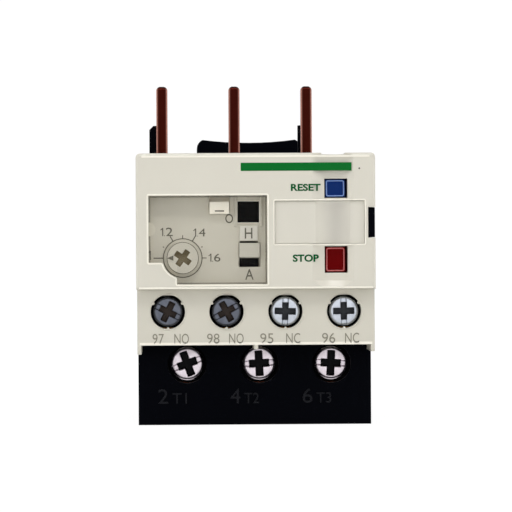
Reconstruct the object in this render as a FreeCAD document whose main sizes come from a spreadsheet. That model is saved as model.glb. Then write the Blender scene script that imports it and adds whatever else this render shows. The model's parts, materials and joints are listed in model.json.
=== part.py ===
"""Thermal overload relay: plug-in motor protection relay with three poles and two auxiliary contacts.

Axes: X to the right, Y to the back, Z up.  Every sub-part is drawn with Y as the depth behind the
cover's front face; its Placement then puts the origin under the middle of the whole relay.
"""
import FreeCAD, Part
import math
import os
import re
import Sketcher

SIZES = [
    # whole relay
    ("overall_width", 45.0, "over the front cover"),
    ("overall_height", 66.0, "from the resting face to the tips of the line pins"),
    ("overall_depth", 70.0, "from the cover's face to the nose of the mounting hook"),
    # front cover
    ("aux_height", 10.5, "height of the auxiliary terminal housing"),
    ("seam_height", "=block_top + aux_height", "where the cover meets the auxiliary terminal housing"),
    ("cover_height", 25.6, "height of the front cover"),
    ("cover_top", "=seam_height + cover_height", "top of the cover"),
    ("cover_depth", 24.0, "front face to the joint with the base"),
    ("cover_wall", 1.8, "side and top walls"),
    ("front_wall", 2.4, "wall behind the front face"),
    ("cover_corner", 0.8, "radius of the upper corners"),
    ("cover_edge", 0.6, "radius round the front face"),
    ("tongue_length", 2.0, "tongue that enters the base"),
    ("tongue_thickness", 0.7, "thickness of that tongue"),
    ("seam_gap", 0.1, "moulding clearance in seams and seats"),
    ("notch_left", 12.4, "notch in the cover's upper edge, left end"),
    ("notch_width", 4.5, "width of that notch"),
    ("notch_depth", 0.3, "depth of that notch"),
    ("groove_middle", 14.5, "centre line of the finger groove"),
    ("groove_radius", 7.9, "radius of the finger groove"),
    ("groove_depth", 1.0, "depth of the finger groove"),
    ("groove_drop", 1.55, "stop button to where the groove starts to run out"),
    ("groove_foot", "=stop_bottom - groove_drop", "height where the groove starts to run out"),
    ("groove_runout", 1.6, "height over which the groove runs out"),
    # window recess, its floor and its flap
    ("window_left", -20.3, "left edge of the window recess"),
    ("window_width", 22.6, "width of the window recess"),
    ("window_right", "=window_left + window_width", "right edge of the window recess"),
    ("window_rise", 0.8, "cover's lower edge to the window recess"),
    ("window_bottom", "=seam_height + window_rise", "lower edge of the window recess"),
    ("window_height", 17.0, "height of the window recess"),
    ("window_top", "=window_bottom + window_height", "upper edge of the window recess"),
    ("window_step_width", 5.3, "width of the corner left solid beside the dial"),
    ("window_step_height", 4.1, "height of that corner"),
    ("window_depth", 2.6, "front face to the floor of the recess"),
    ("window_floor", 1.4, "thickness of that floor"),
    ("window_rim", 1.2, "wall round the recess"),
    ("flap_gap", 0.2, "clearance round the transparent flap"),
    ("flap_front", 0.2, "front face to the face of the flap"),
    ("flap_thickness", 1.0, "thickness of the transparent flap"),
    ("flap_pin_radius", 0.35, "hinge pins of the flap"),
    ("flap_pin_length", 0.6, "how far each hinge pin enters the cover"),
    ("flap_notch_radius", 1.3, "finger notch in the free edge of the flap"),
    ("pin_clearance", 0.05, "radial clearance of pins and shafts in their holes"),
    # current setting dial and its cam
    ("dial_inset", 6.56, "recess's left edge to the dial's centre"),
    ("dial_middle", "=window_left + dial_inset", "centre of the dial"),
    ("dial_rise", 5.13, "recess's lower edge to the dial's centre"),
    ("dial_height", "=window_bottom + dial_rise", "height of the dial's centre"),
    ("dial_radius", 3.0, "raised disc of the dial"),
    ("dial_skirt_radius", 3.55, "lower ring of the dial"),
    ("dial_recess_radius", 4.0, "round the dial, where the recess cuts the solid corner"),
    ("dial_flange_radius", 4.3, "flange behind the window floor"),
    ("dial_face", 1.5, "front face to the dial's disc"),
    ("dial_ring_depth", 2.2, "front face to the lower ring"),
    ("dial_shaft_radius", 2.0, "shaft of the dial"),
    ("flange_thickness", 0.95, "flanges that hold dial, tab and selector behind the floor"),
    ("flange_play", 0.05, "play between such a flange and the floor"),
    ("axle_hole_reach", 1.1, "how far the dial's axle hole goes in past the cam"),
    ("driver_slot_length", 3.4, "cross recess for a screwdriver"),
    ("driver_slot_width", 1.1, "width of that recess"),
    ("driver_slot_depth", 0.8, "depth of that recess"),
    ("driver_slot_angle", 55.0, "angle of the cross recess at rest"),
    ("cam_radius", 2.5, "eccentric on the dial's shaft"),
    ("cam_offset", 0.8, "throw of the eccentric"),
    ("cam_room", 1.4, "cam layer to the compensating strip"),
    ("cam_front",
     "=compensator_front - cam_thickness - cam_room",
     "depth of the layer with cam and adjusting lever"),
    ("cam_thickness", 2.6, "thickness of that layer"),
    ("cam_gap", 0.35, "gap between the cam and the lever"),
    # test tab, trip indicator and mode selector
    ("knob_face", 1.6, "front face to the faces of tab and selector"),
    ("knob_play", 0.1, "play of tab and selector beside their openings"),
    ("test_inset", 11.64, "recess's left edge to the test tab"),
    ("test_left", "=window_left + test_inset", "left side of the test tab"),
    ("test_width", 3.69, "width of the test tab"),
    ("test_drop", 2.9, "recess's upper edge to the underside of the test tab"),
    ("test_bottom", "=window_top - test_drop", "underside of the test tab"),
    ("test_height", 1.6, "height of the test tab"),
    ("test_travel", 1.0, "upward travel of the test tab"),
    ("test_lip", 0.6, "height of the lip under the test tab"),
    ("test_lip_width", 1.845, "width of that lip"),
    ("indicator_inset", 5.7, "recess's right edge to the indicator's left side"),
    ("indicator_left", "=window_right - indicator_inset", "left side of the trip indicator's opening"),
    ("indicator_width", 4.1, "width of that opening"),
    ("indicator_drop", 5.23, "recess's upper edge to the indicator's lower edge"),
    ("indicator_bottom", "=window_top - indicator_drop", "lower edge of that opening"),
    ("indicator_height", 4.0, "height of that opening"),
    ("flag_drop", 4.3, "travel of the trip flag"),
    ("flag_thickness", 0.8, "thickness of the trip flag"),
    ("rail_width", 0.5, "guide rails of the trip flag"),
    ("selector_inset", 5.4, "recess's right edge to the selector's left side"),
    ("selector_left", "=window_right - selector_inset", "left side of the mode selector"),
    ("selector_width", 3.85, "width of the mode selector"),
    ("selector_rise", 5.2, "recess's lower edge to the selector in its upper place"),
    ("selector_bottom",
     "=window_bottom + selector_rise",
     "underside of the mode selector in its upper place"),
    ("selector_height", 2.7, "height of the mode selector"),
    ("selector_travel", 1.7, "travel of the mode selector"),
    ("knob_flange", 0.75, "how far a knob's flange reaches past its opening"),
    ("knob_overlap", 0.4, "how far that flange covers the slot above and below"),
    ("legend_rise", 0.45, "selector to the raised letter block over it"),
    ("legend_width", 3.4, "width of the raised letter block"),
    ("legend_height", 2.75, "height of the raised letter block"),
    ("legend_relief", 0.6, "how far the letter block stands out of the recess's floor"),
    # marker plate
    ("marker_inset", 1.26, "window recess to the marker plate's recess"),
    ("marker_left", "=window_right + marker_inset", "left edge of the marker plate's recess"),
    ("marker_width", 16.84, "width of the marker plate's recess"),
    ("marker_right", "=marker_left + marker_width", "right edge of that recess"),
    ("marker_rise", 0.6, "stop button to the marker plate's recess"),
    ("marker_bottom", "=stop_bottom + stop_size + marker_rise", "lower edge of that recess"),
    ("marker_height", 8.06, "height of the marker plate's recess"),
    ("marker_top", "=marker_bottom + marker_height", "upper edge of that recess"),
    ("marker_face", 0.3, "front face to the marker plate"),
    ("marker_thickness", 1.3, "thickness of the marker plate"),
    ("marker_gap", 0.05, "clearance round the marker plate"),
    # reset and stop buttons
    ("button_left", 13.05, "left side of both buttons"),
    ("button_width", 3.8, "width of both buttons"),
    ("reset_rise", 0.64, "marker plate's recess to the reset button"),
    ("reset_bottom", "=marker_top + reset_rise", "underside of the reset button"),
    ("reset_size", 3.4, "height of the reset button"),
    ("stop_rise", 3.15, "cover's lower edge to the stop button"),
    ("stop_bottom", "=seam_height + stop_rise", "underside of the stop button"),
    ("stop_size", 4.75, "height of the stop button"),
    ("button_face", 1.1, "front face to the faces of the buttons"),
    ("button_bevel", 0.45, "bevel round the buttons' faces"),
    ("button_gap", 0.12, "gap beside the buttons"),
    ("button_side_gap", 0.4, "wider gap on their right"),
    ("button_guide", 4.0, "front face to the end of the buttons' guide block"),
    ("shoulder_width", 0.7, "how far a button's shoulder reaches past its guide"),
    ("shoulder_thickness", 1.2, "thickness of that shoulder"),
    ("stem_radius", 1.1, "stem of a button"),
    ("stem_entry", 2.0, "how far the stem enters the guide tube"),
    ("stem_end", "=tube_front + stem_entry", "front face to the end of the stem"),
    ("stem_gap", 0.15, "radial gap of the stem in its guide tube"),
    ("spring_radius", 1.95, "mean radius of the return springs"),
    ("spring_wire", 0.5, "thickness of the spring wire"),
    ("tube_radius", 2.6, "guide tube of a button"),
    ("tube_length", 8.5, "length of the guide tube"),
    ("tube_front", "=frame_front - tube_length", "front face to the mouth of the guide tube"),
    # auxiliary terminal housing
    ("aux_face", 2.0, "cover's face to the face of this housing"),
    ("aux_side_inset", 0.15, "its sides stand in from the cover's"),
    ("aux_inner", 5.55, "middle to the two inner terminals"),
    ("aux_outer", 16.6, "middle to the two outer terminals"),
    ("aux_screw_rise", 6.3, "housing's lower edge to the auxiliary screws"),
    ("aux_screw_height", "=block_top + aux_screw_rise", "height of the auxiliary screws"),
    ("aux_well_radius", 3.24, "screw wells"),
    ("aux_chamber_width", 8.4, "width of a wire chamber"),
    ("aux_front_wall", 2.5, "front wall of the auxiliary housing"),
    ("aux_chamber_front", "=aux_face + aux_front_wall", "front of a wire chamber"),
    ("aux_back_room", 4.1, "terminal plate to the back of a wire chamber"),
    ("aux_chamber_back",
     "=aux_plate_front + aux_plate_thickness + aux_back_room",
     "back of a wire chamber"),
    ("aux_roof", 1.2, "roof of the auxiliary housing"),
    ("aux_chamber_top", "=seam_height - aux_roof", "ceiling of a wire chamber"),
    ("aux_foot_width", 0.75, "side feet below the housing"),
    ("aux_left_foot", 1.7, "length of the left foot"),
    ("aux_right_foot", 1.3, "length of the right foot"),
    ("aux_middle_foot", 0.8, "length and width of the middle foot"),
    ("aux_foot_gap", 0.2, "feet to the terminal block's face"),
    ("aux_foot_back", "=block_face - aux_foot_gap", "front face to the back of the feet"),
    ("aux_wall", 1.2, "walls of this housing behind the chambers"),
    # auxiliary terminals
    ("aux_head_radius", 2.75, "heads of the auxiliary screws"),
    ("aux_head_inset", 1.2, "housing's face to the auxiliary screws' heads"),
    ("aux_head_front", "=aux_face + aux_head_inset", "front face to those heads"),
    ("aux_head_height", 2.2, "height of those heads"),
    ("aux_shank_radius", 1.75, "M3.5 shank"),
    ("aux_shank_reach", 1.6, "how far the shank stands out behind the terminal plate"),
    ("aux_shank_end",
     "=aux_plate_front + aux_plate_thickness + aux_shank_reach",
     "front face to the end of the shank"),
    ("aux_clamp_width", 7.6, "width of the clamp"),
    ("aux_clamp_height", 6.0, "height of the clamp"),
    ("aux_clamp_thickness", 1.0, "thickness of the clamp"),
    ("aux_wire_room", 4.3, "open clamp to the terminal plate"),
    ("aux_plate_front",
     "=aux_head_front + aux_head_height + aux_clamp_thickness + aux_wire_room",
     "front face to the terminal plate"),
    ("aux_plate_thickness", 1.2, "thickness of the terminal plate"),
    ("aux_plate_drop", 4.0, "auxiliary screw to the lower end of its plate"),
    ("aux_plate_bottom", "=aux_screw_height - aux_plate_drop", "lower end of the terminal plate"),
    ("aux_plate_width", 7.8, "width of the terminal plate"),
    ("aux_neck_width", 3.0, "neck of the plate, through the housing's top"),
    ("aux_tail_end", "=blade_front + blade_width", "front face to the end of the plate's tail"),
    ("aux_tail_thickness", 0.8, "thickness of the tail"),
    ("slot_width", 0.8, "screwdriver slots"),
    ("slot_depth", 0.6, "depth of screwdriver slots"),
    ("screw_play", 0.1, "radial play of a screw in its clamp and plate"),
    ("end_play", 0.3, "room round the end of an auxiliary screw"),
    ("cross_width", 1.2, "cross recesses in the terminal screws"),
    ("cross_depth", 1.5, "depth of those recesses"),
    ("load_cross_length", 4.4, "length of the cross in a load screw"),
    ("aux_cross_length", 3.8, "length of the cross in an auxiliary screw"),
    ("screw_chamfer", 0.3, "chamfer round the screw heads"),
    ("aux_slot_97", -27.0, "angle of this screw's slot at rest"),
    ("aux_slot_98", 28.0, "angle of this screw's slot at rest"),
    ("aux_slot_95", 88.0, "angle of this screw's slot at rest"),
    ("aux_slot_96", 91.0, "angle of this screw's slot at rest"),
    # base housing
    ("base_side_inset", 0.1, "its sides stand in from the cover's"),
    ("base_top_inset", 0.3, "its top stands below the cover's"),
    ("hook_reach", 4.0, "how far the hook's nose stands out behind the base"),
    ("base_back", "=overall_depth - hook_reach", "front face to the back wall"),
    ("base_wall", 1.6, "walls of the base"),
    ("base_edge", 0.8, "radius of the rear edges"),
    ("block_face", 15.0, "front face to the face of the load terminal block"),
    ("block_top", 15.7, "top of that block, where the auxiliary housing stands"),
    ("ledge_width", 1.8, "ledges that the mechanism frame rests on"),
    ("ledge_depth", 4.0, "depth of those ledges"),
    ("partition_thickness", 1.2, "walls between the poles"),
    ("partition_front", 30.0, "front face to the walls between the poles"),
    ("rib_inset", 1.0, "ribs over the sliders, in from the sliders' edges"),
    ("catch_rise", 1.2, "marker plate's recess to the catch"),
    ("catch_bottom", "=marker_bottom + catch_rise", "lower side of the catch that holds the cover"),
    ("catch_height", 5.55, "height of the catch"),
    ("catch_thickness", 1.2, "thickness of the catch"),
    ("catch_face", 0.5, "front face to the end of the catch"),
    # load terminals
    ("load_middle", 0.9, "middle load terminal"),
    ("load_pitch", 13.9, "spacing of the load terminals"),
    ("load_drop", 4.0, "top of the block to the load screws"),
    ("load_height", "=block_top - load_drop", "height of the load screws"),
    ("load_well_radius", 3.75, "screw wells"),
    ("load_chamber_width", 10.0, "width of a wire chamber"),
    ("load_front_wall", 2.5, "front wall of the terminal block"),
    ("load_chamber_front", "=block_face + load_front_wall", "front of a wire chamber"),
    ("load_back_room", 7.4, "terminal bar to the back of a wire chamber"),
    ("load_chamber_back",
     "=load_bar_front + load_bar_thickness + load_back_room",
     "back of a wire chamber"),
    ("load_head_radius", 3.2, "heads of the load screws"),
    ("load_head_inset", 2.7, "block's face to the load screws' heads"),
    ("load_head_front", "=block_face + load_head_inset", "front face to those heads"),
    ("load_head_height", 2.6, "height of those heads"),
    ("load_shank_radius", 2.0, "M4 shank"),
    ("load_shank_reach", 2.0, "how far the shank stands out behind the bar"),
    ("load_shank_end",
     "=load_bar_front + load_bar_thickness + load_shank_reach",
     "front face to the end of the shank"),
    ("load_slot_1", 20.0, "angle of this screw's slot at rest"),
    ("load_slot_2", 3.0, "angle of this screw's slot at rest"),
    ("load_slot_3", -3.0, "angle of this screw's slot at rest"),
    ("load_clamp_width", 8.6, "width of the clamp"),
    ("load_clamp_height", 7.2, "height of the clamp"),
    ("load_clamp_thickness", 1.2, "thickness of the clamp"),
    ("load_wire_room", 5.5, "open clamp to the terminal bar"),
    ("load_bar_front",
     "=load_head_front + load_head_height + load_clamp_thickness + load_wire_room",
     "front face to the terminal bar"),
    ("load_bar_thickness", 1.6, "thickness of the terminal bar"),
    ("load_bar_width", 8.8, "width of the terminal bar"),
    ("load_bar_drop", 8.7, "load screw to the lower end of its bar"),
    ("load_bar_bottom", "=load_height - load_bar_drop", "lower end of the terminal bar"),
    ("load_bar_reach", 4.0, "middle of the strips to the rear end of the bar"),
    ("load_bar_end", "=bimetal_depth + load_bar_reach", "front face to the rear end of the terminal bar"),
    ("load_bar_lift", 0.3, "gap between the bar and the floor under it"),
    # line pins, bimetal strips and heaters
    ("pin_middle", -3.5, "middle line pin"),
    ("pin_pitch", 14.26, "spacing of the line pins"),
    ("pin_width", 2.2, "width of a line pin"),
    ("pin_front", 29.4, "front face to the line pins"),
    ("pin_thickness", 3.2, "depth of a line pin"),
    ("pin_taper", 0.5, "chamfer at the tip of a line pin"),
    ("pin_lift", 0.8, "heater coil to the pin's tab over it"),
    ("pin_bottom", "=coil_bottom + coil_height + pin_lift", "underside of the pin's tab over the heater"),
    ("pin_tab", 2.0, "height of that tab"),
    ("pin_tab_gap", 0.6, "tab to the bimetal strip"),
    ("bimetal_offset", 2.4, "pole's line pin to its bimetal strip"),
    ("bimetal_thickness", 1.0, "thickness of a bimetal strip"),
    ("bimetal_width", 4.8, "width of a bimetal strip"),
    ("bimetal_depth", 50.0, "front face to the middle of the strips"),
    ("bimetal_reach", 0.7, "how far a strip stands out above the sliders"),
    ("bimetal_top",
     "=slider_bottom + 2 * slider_thickness + slider_gap + bimetal_reach",
     "free end of a strip"),
    ("lug_thickness", 1.0, "lugs that hold a strip's foot"),
    ("lug_height", 2.2, "height of those lugs"),
    ("lug_gap", 0.15, "gap between lug and strip"),
    ("coil_radius", 3.4, "mean radius of a heater coil"),
    ("coil_wire", 0.5, "thickness of the heater ribbon"),
    ("coil_rise", 8.7, "top of the block to the heater coils"),
    ("coil_bottom", "=block_top + coil_rise", "lower end of a heater coil"),
    ("coil_height", 15.0, "height of a heater coil"),
    # guide bars and mounting hook
    ("guide_width", 2.6, "width of the two guide bars"),
    ("guide_left", -20.3, "left side of the left guide bar"),
    ("guide_spacing", 32.1, "over both guide bars"),
    ("guide_right", "=guide_left + guide_spacing", "right side of the right guide bar"),
    ("guide_front", 33.0, "front face to the guide bars"),
    ("guide_depth", 2.4, "depth of the guide bars"),
    ("guide_height", 6.6, "how far the guide bars stand over the cover"),
    ("guide_top", "=cover_top + guide_height", "top of the guide bars"),
    ("guide_chamfer", 0.8, "chamfered corner of a guide bar"),
    ("hook_width", 21.6, "width of the mounting hook"),
    ("hook_thickness", 6.0, "thickness of the mounting hook"),
    ("hook_front", "=base_back - hook_thickness", "front face to the mounting hook"),
    ("hook_height", 5.0, "how far the hook stands over the cover"),
    ("hook_top", "=cover_top + hook_height", "top of the mounting hook"),
    ("hook_sag", 0.8, "how far its upper edge sags in the middle"),
    ("hook_corner", 2.0, "radius of its upper corners"),
    ("hook_nose", 2.4, "height of the nose that catches"),
    # trip and differential sliders
    ("slider_front", "=bimetal_depth - slider_depth / 2", "front face to the sliders"),
    ("slider_depth", 7.0, "depth of the sliders"),
    ("slider_left", -19.3, "left end of the sliders"),
    ("slider_length", 36.8, "length of the sliders"),
    ("slider_right", "=slider_left + slider_length", "right end of the sliders"),
    ("slider_drop", 9.4, "cover's top to the underside of the lower slider"),
    ("slider_bottom", "=cover_top - slider_drop", "underside of the lower slider"),
    ("slider_thickness", 1.5, "thickness of each slider"),
    ("slider_gap", 0.1, "gap between the sliders and under them"),
    ("push_gap", 0.3, "gap between a strip and the slider edge that it pushes"),
    ("slot_room", 1.8, "free room on the strip's other side"),
    ("arm_inset", 2.8, "compensating strip to the arm's left side"),
    ("arm_left", "=compensator_middle - arm_inset", "left side of the trip slider's arm"),
    ("arm_thickness", 1.2, "thickness of that arm"),
    ("arm_overlap", 0.8, "how far the arm stays behind the strip's front edge"),
    ("arm_front", "=compensator_front + arm_overlap", "front face to the tip of that arm"),
    ("arm_drop", 5.4, "lower slider to the underside of the arm"),
    ("arm_bottom", "=slider_bottom - arm_drop", "underside of that arm"),
    ("arm_height", 2.8, "height of that arm"),
    ("arm_leg", 3.0, "depth of the arm's upright leg"),
    ("arm_room", 0.6, "room round the arm in the frame plate"),
    ("trip_travel", 1.2, "travel of the sliders from cold to tripped"),
    ("differential_pivot", -12.2, "pivot of the differential lever"),
    ("differential_pivot_depth", 48.0, "front face to that pivot"),
    ("differential_pin_radius", 0.8, "its pin on the trip slider"),
    ("differential_arm", 9.0, "front arm of the differential lever"),
    ("differential_short_arm", 4.0, "rear arm, pivot to peg"),
    ("differential_thickness", 1.2, "thickness of the differential lever"),
    ("differential_width", 1.4, "width of the differential lever"),
    ("differential_lag", 0.9, "how far the lower slider can stay behind"),
    # mechanism frame with its bosses and pins
    ("frame_thickness", 1.5, "thickness of the frame plate"),
    ("frame_front", "=cover_depth - frame_thickness", "front face to the frame plate"),
    ("frame_rise", 1.7, "cover's lower edge to the frame plate"),
    ("frame_bottom", "=seam_height + frame_rise", "lower edge of the frame plate"),
    ("boss_radius", 1.6, "bosses on the frame"),
    ("boss_gap", 0.4, "cam layer to the ends of the bosses"),
    ("boss_front", "=cam_front + cam_thickness + boss_gap", "front face to the ends of the bosses"),
    ("axle_radius", 1.0, "axles on the bosses"),
    ("lever_inset", 1.24, "dial's centre to the pivot of the adjusting lever"),
    ("lever_pivot", "=dial_middle + lever_inset", "pivot of the adjusting lever"),
    ("lever_rise", 10.37, "height of that pivot over the dial's centre"),
    ("lever_pivot_height", "=dial_height + lever_rise", "height of that pivot"),
    ("lever_width", 2.2, "width of the adjusting lever"),
    ("hub_wall", 1.2, "wall of a lever's hub round its hole"),
    ("compensator_inset", 3.5, "that pivot to the compensating strip"),
    ("compensator_middle", "=lever_pivot + compensator_inset", "compensating strip"),
    ("compensator_rise", 4.5, "height of the strip's pivot over that of the lever"),
    ("compensator_pivot_height",
     "=lever_pivot_height + compensator_rise",
     "pivot of the compensating strip"),
    ("compensator_pin_radius", 0.8, "its pin on the adjusting lever"),
    ("compensator_thickness", 0.8, "thickness of the compensating strip"),
    ("compensator_gap", 0.4, "compensating strip to the trip lever's plate"),
    ("compensator_front",
     "=trip_front - compensator_width - compensator_gap",
     "front face to the compensating strip"),
    ("compensator_width", 4.0, "width of the compensating strip"),
    ("compensator_drop", 1.2, "trip lever's toe to the strip's free end"),
    ("compensator_bottom", "=toe_bottom - compensator_drop", "free end of the compensating strip"),
    ("trip_pivot", -1.5, "pivot of the trip lever"),
    ("trip_rise", 0.2, "height of that pivot over the normally closed tip"),
    ("trip_pivot_height", "=closed_height + trip_rise", "height of that pivot"),
    ("trip_gap", 0.8, "trip lever's plate to the blades"),
    ("trip_front", "=blade_front - trip_thickness - trip_gap", "front face to the trip lever's plate"),
    ("trip_thickness", 1.6, "thickness of that plate"),
    ("toe_gap", 0.4, "gap between the compensating strip and the trip lever's toe"),
    ("toe_width", 1.2, "width of the toe"),
    ("toe_drop", 8.8, "pivot to the underside of the toe"),
    ("toe_bottom", "=trip_pivot_height - toe_drop", "underside of the toe"),
    ("toe_height", 2.0, "height of the toe"),
    ("peg_radius", 0.5, "pegs of the trip lever"),
    ("snap_radius", 2.7, "mean radius of the trip lever's spring"),
    ("snap_wire", 0.6, "thickness of its wire"),
    # auxiliary contacts
    ("blade_thickness", 0.3, "moving contact blades"),
    ("blade_gap", 0.5, "blades to the frame plate"),
    ("blade_front", "=frame_front - blade_width - blade_gap", "front face to the blades"),
    ("blade_width", 3.0, "width of the blades"),
    ("blade_lift", 0.05, "gap under a blade"),
    ("strip_thickness", 0.6, "fixed contact strips"),
    ("tip_radius", 0.9, "silver contact tips"),
    ("tip_height", 0.35, "height of a moving tip"),
    ("open_drop", 5.6, "cover's top to the tip of the normally open contact"),
    ("open_height", "=cover_top - open_drop", "tip of the normally open contact"),
    ("open_gap", 0.95, "its gap at rest"),
    ("open_peg_gap", 0.3, "blade to the peg that closes it"),
    ("open_peg_left",
     "=-aux_inner + blade_thickness / 2 + open_peg_gap + peg_radius",
     "peg that closes it"),
    ("open_peg_drop", 2.75, "that tip to the peg"),
    ("open_peg_height", "=open_height - open_peg_drop", "height of that peg"),
    ("closed_rise", 13.6, "cover's lower edge to the tip of the normally closed contact"),
    ("closed_height", "=seam_height + closed_rise", "tip of the normally closed contact"),
    ("closed_gap", 0.03, "its gap at rest"),
    ("closed_peg_gap", 0.5, "blade to the peg that opens it"),
    ("closed_peg_left",
     "=aux_inner - blade_thickness / 2 - closed_peg_gap - peg_radius",
     "peg that opens it"),
    ("closed_peg_drop", 3.8, "that tip to the peg"),
    ("closed_peg_height", "=closed_height - closed_peg_drop", "height of that peg"),
    ("closed_strip_reach", 2.6, "outer terminal to the upright of its fixed strip"),
    ("closed_strip_side", "=aux_outer + closed_strip_reach", "upright of its fixed strip"),
    ("closed_strip_rise", 2.2, "that tip to the top of its fixed strip"),
    ("closed_strip_top", "=closed_height + closed_strip_rise", "top of its fixed strip"),
]

document = FreeCAD.newDocument("overload_relay")
sheet = document.addObject("Spreadsheet::Sheet", "Sizes")
for row, (alias, size, meaning) in enumerate(SIZES, start=1):
    sheet.set(f"A{row}", meaning)
    sheet.setAlias(f"B{row}", alias)
for row, (alias, size, meaning) in enumerate(SIZES, start=1):
    sheet.set(f"B{row}", str(size))
document.recompute()

ALIASES = re.compile(r"\b(" + "|".join(alias for alias, size, meaning in SIZES) + r")\b")
# for each axis: the origin plane across it, and whether that plane's normal points along the axis
PLANES = {"x": ("YZ_Plane", True), "y": ("XZ_Plane", False), "z": ("XY_Plane", True)}
nodes = []


def linked(expression):
    """The expression with every size name pointing at its cell."""
    return ALIASES.sub(r"Sizes.\1", str(expression))


def number(expression):
    """The present value of an expression, in millimetres or degrees."""
    result = sheet.evalExpression(linked(expression))
    return float(getattr(result, "Value", result))


def bind(thing, path, expression):
    thing.setExpression(path, linked(expression))


def rectangle(left, right, bottom, top):
    return [(left, bottom), (right, bottom), (right, top), (left, top)]


def circle(across, up, radius):
    return ("circle", across, up, radius)


class Piece:
    """A sub-part made as a PartDesign body; its sketches and lengths follow the sheet."""

    def __init__(self, label):
        self.body = document.addObject("PartDesign::Body", label)
        self.body.Label = label
        bind(self.body, ".Placement.Base.y", "-overall_depth / 2")
        nodes.append(self.body)

    def sketch(self, axis, start, outlines, origin=("0", "0")):
        role, along = PLANES[axis]
        plane = [item for item in self.body.Origin.OriginFeatures if item.Role == role][0]
        sketch = self.body.newObject("Sketcher::SketchObject", "Sketch")
        sketch.AttachmentSupport = [(plane, "")]
        sketch.MapMode = "FlatFace"
        bind(sketch, ".AttachmentOffset.Base.x", origin[0])
        bind(sketch, ".AttachmentOffset.Base.y", origin[1])
        bind(sketch, ".AttachmentOffset.Base.z", start if along else f"-({start})")
        for outline in outlines:
            if outline[0] == "circle":
                self.draw_circle(sketch, *outline[1:])
            else:
                self.draw_polygon(sketch, outline)
        return sketch

    def dimension(self, sketch, kind, edge, end, expression):
        index = sketch.addConstraint(Sketcher.Constraint(kind, -1, 1, edge, end, number(expression)))
        name = f"size{index}"
        sketch.renameConstraint(index, name)
        bind(sketch, f"Constraints.{name}", expression)

    def draw_polygon(self, sketch, points):
        corners = [FreeCAD.Vector(number(across), number(up), 0) for across, up in points]
        edges = []
        for corner, following in zip(corners, corners[1:] + corners[:1]):
            edges.append(sketch.addGeometry(Part.LineSegment(corner, following)))
        for edge, following in zip(edges, edges[1:] + edges[:1]):
            sketch.addConstraint(Sketcher.Constraint("Coincident", edge, 2, following, 1))
        for edge, (across, up) in zip(edges, points):
            self.dimension(sketch, "DistanceX", edge, 1, across)
            self.dimension(sketch, "DistanceY", edge, 1, up)

    def draw_circle(self, sketch, across, up, radius):
        middle = FreeCAD.Vector(number(across), number(up), 0)
        edge = sketch.addGeometry(Part.Circle(middle, FreeCAD.Vector(0, 0, 1), number(radius)))
        self.dimension(sketch, "DistanceX", edge, 3, across)
        self.dimension(sketch, "DistanceY", edge, 3, up)
        index = sketch.addConstraint(Sketcher.Constraint("Radius", edge, number(radius)))
        sketch.renameConstraint(index, f"radius{index}")
        bind(sketch, f"Constraints.radius{index}", radius)

    def add(self, axis, start, end, *outlines):
        """Pads the outlines along +axis, from start to end."""
        pad = self.body.newObject("PartDesign::Pad", "Pad")
        pad.Profile = self.sketch(axis, start, outlines)
        bind(pad, "Length", f"({end}) - ({start})")
        pad.Reversed = not PLANES[axis][1]
        return self

    def cut(self, axis, start, end, *outlines):
        """Pockets the outlines along +axis, from start to end."""
        pocket = self.body.newObject("PartDesign::Pocket", "Pocket")
        pocket.Profile = self.sketch(axis, start, outlines)
        bind(pocket, "Length", f"({end}) - ({start})")
        pocket.Reversed = PLANES[axis][1]
        return self

    def turn(self, across, up, profile):
        """Revolves a profile of (depth, radius) points about the line along Y at (across, up)."""
        revolution = self.body.newObject("PartDesign::Revolution", "Revolution")
        revolution.Profile = self.sketch("x", across, [profile], origin=("0", up))
        revolution.ReferenceAxis = (revolution.Profile[0], ["H_Axis"])
        revolution.Angle = 360
        return self

    def edges_along(self, axis, places):
        """Names of the straight edges along an axis that pass through the given places."""
        document.recompute()
        column = "xyz".index(axis)
        others = [index for index in range(3) if index != column]
        wanted = [(number(first), number(second)) for first, second in places]
        names = []
        for index, edge in enumerate(self.body.Tip.Shape.Edges, start=1):
            ends = [vertex.Point for vertex in edge.Vertexes]
            if len(ends) != 2 or edge.Curve.TypeId != "Part::GeomLine":
                continue
            if any(abs(ends[0][other] - ends[1][other]) > 1e-6 for other in others):
                continue
            place = [ends[0][other] for other in others]
            if any(math.dist(place, spot) < 1e-4 for spot in wanted):
                names.append(f"Edge{index}")
        return names

    def edges_at(self, axis, level):
        """Names of the edges that lie in the plane across an axis at the given level."""
        document.recompute()
        column = "xyz".index(axis)
        height = number(level)
        names = []
        for index, edge in enumerate(self.body.Tip.Shape.Edges, start=1):
            if all(abs(vertex.Point[column] - height) < 1e-4 for vertex in edge.Vertexes):
                names.append(f"Edge{index}")
        return names

    def round_off(self, radius, names):
        base = self.body.Tip
        fillet = self.body.newObject("PartDesign::Fillet", "Fillet")
        fillet.Base = (base, names)
        bind(fillet, "Radius", radius)
        return self

    def bevel(self, size, names):
        base = self.body.Tip
        chamfer = self.body.newObject("PartDesign::Chamfer", "Chamfer")
        chamfer.Base = (base, names)
        bind(chamfer, "Size", size)
        return self

    def scoop(self):
        """Cuts the upright finger groove that runs over the cover and the marker plate."""
        depth = "groove_depth - groove_radius"
        bottom = "groove_foot - groove_runout"
        profile = [("0", bottom), ("groove_radius - groove_depth", bottom), ("groove_radius", "groove_foot"),
                   ("groove_radius", "cover_top"), ("0", "cover_top")]
        groove = self.body.newObject("PartDesign::Groove", "Groove")
        groove.Profile = self.sketch("y", depth, [profile], origin=("groove_middle", "0"))
        groove.ReferenceAxis = (groove.Profile[0], ["V_Axis"])
        groove.Angle = 360
        return self


POLES = ("1", "2", "3")


def middle_of(pole, middle, pitch):
    """Expression for the place of a pole, counted from the middle one."""
    return f"({middle} + ({POLES.index(pole)} - 1) * {pitch})"


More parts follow.
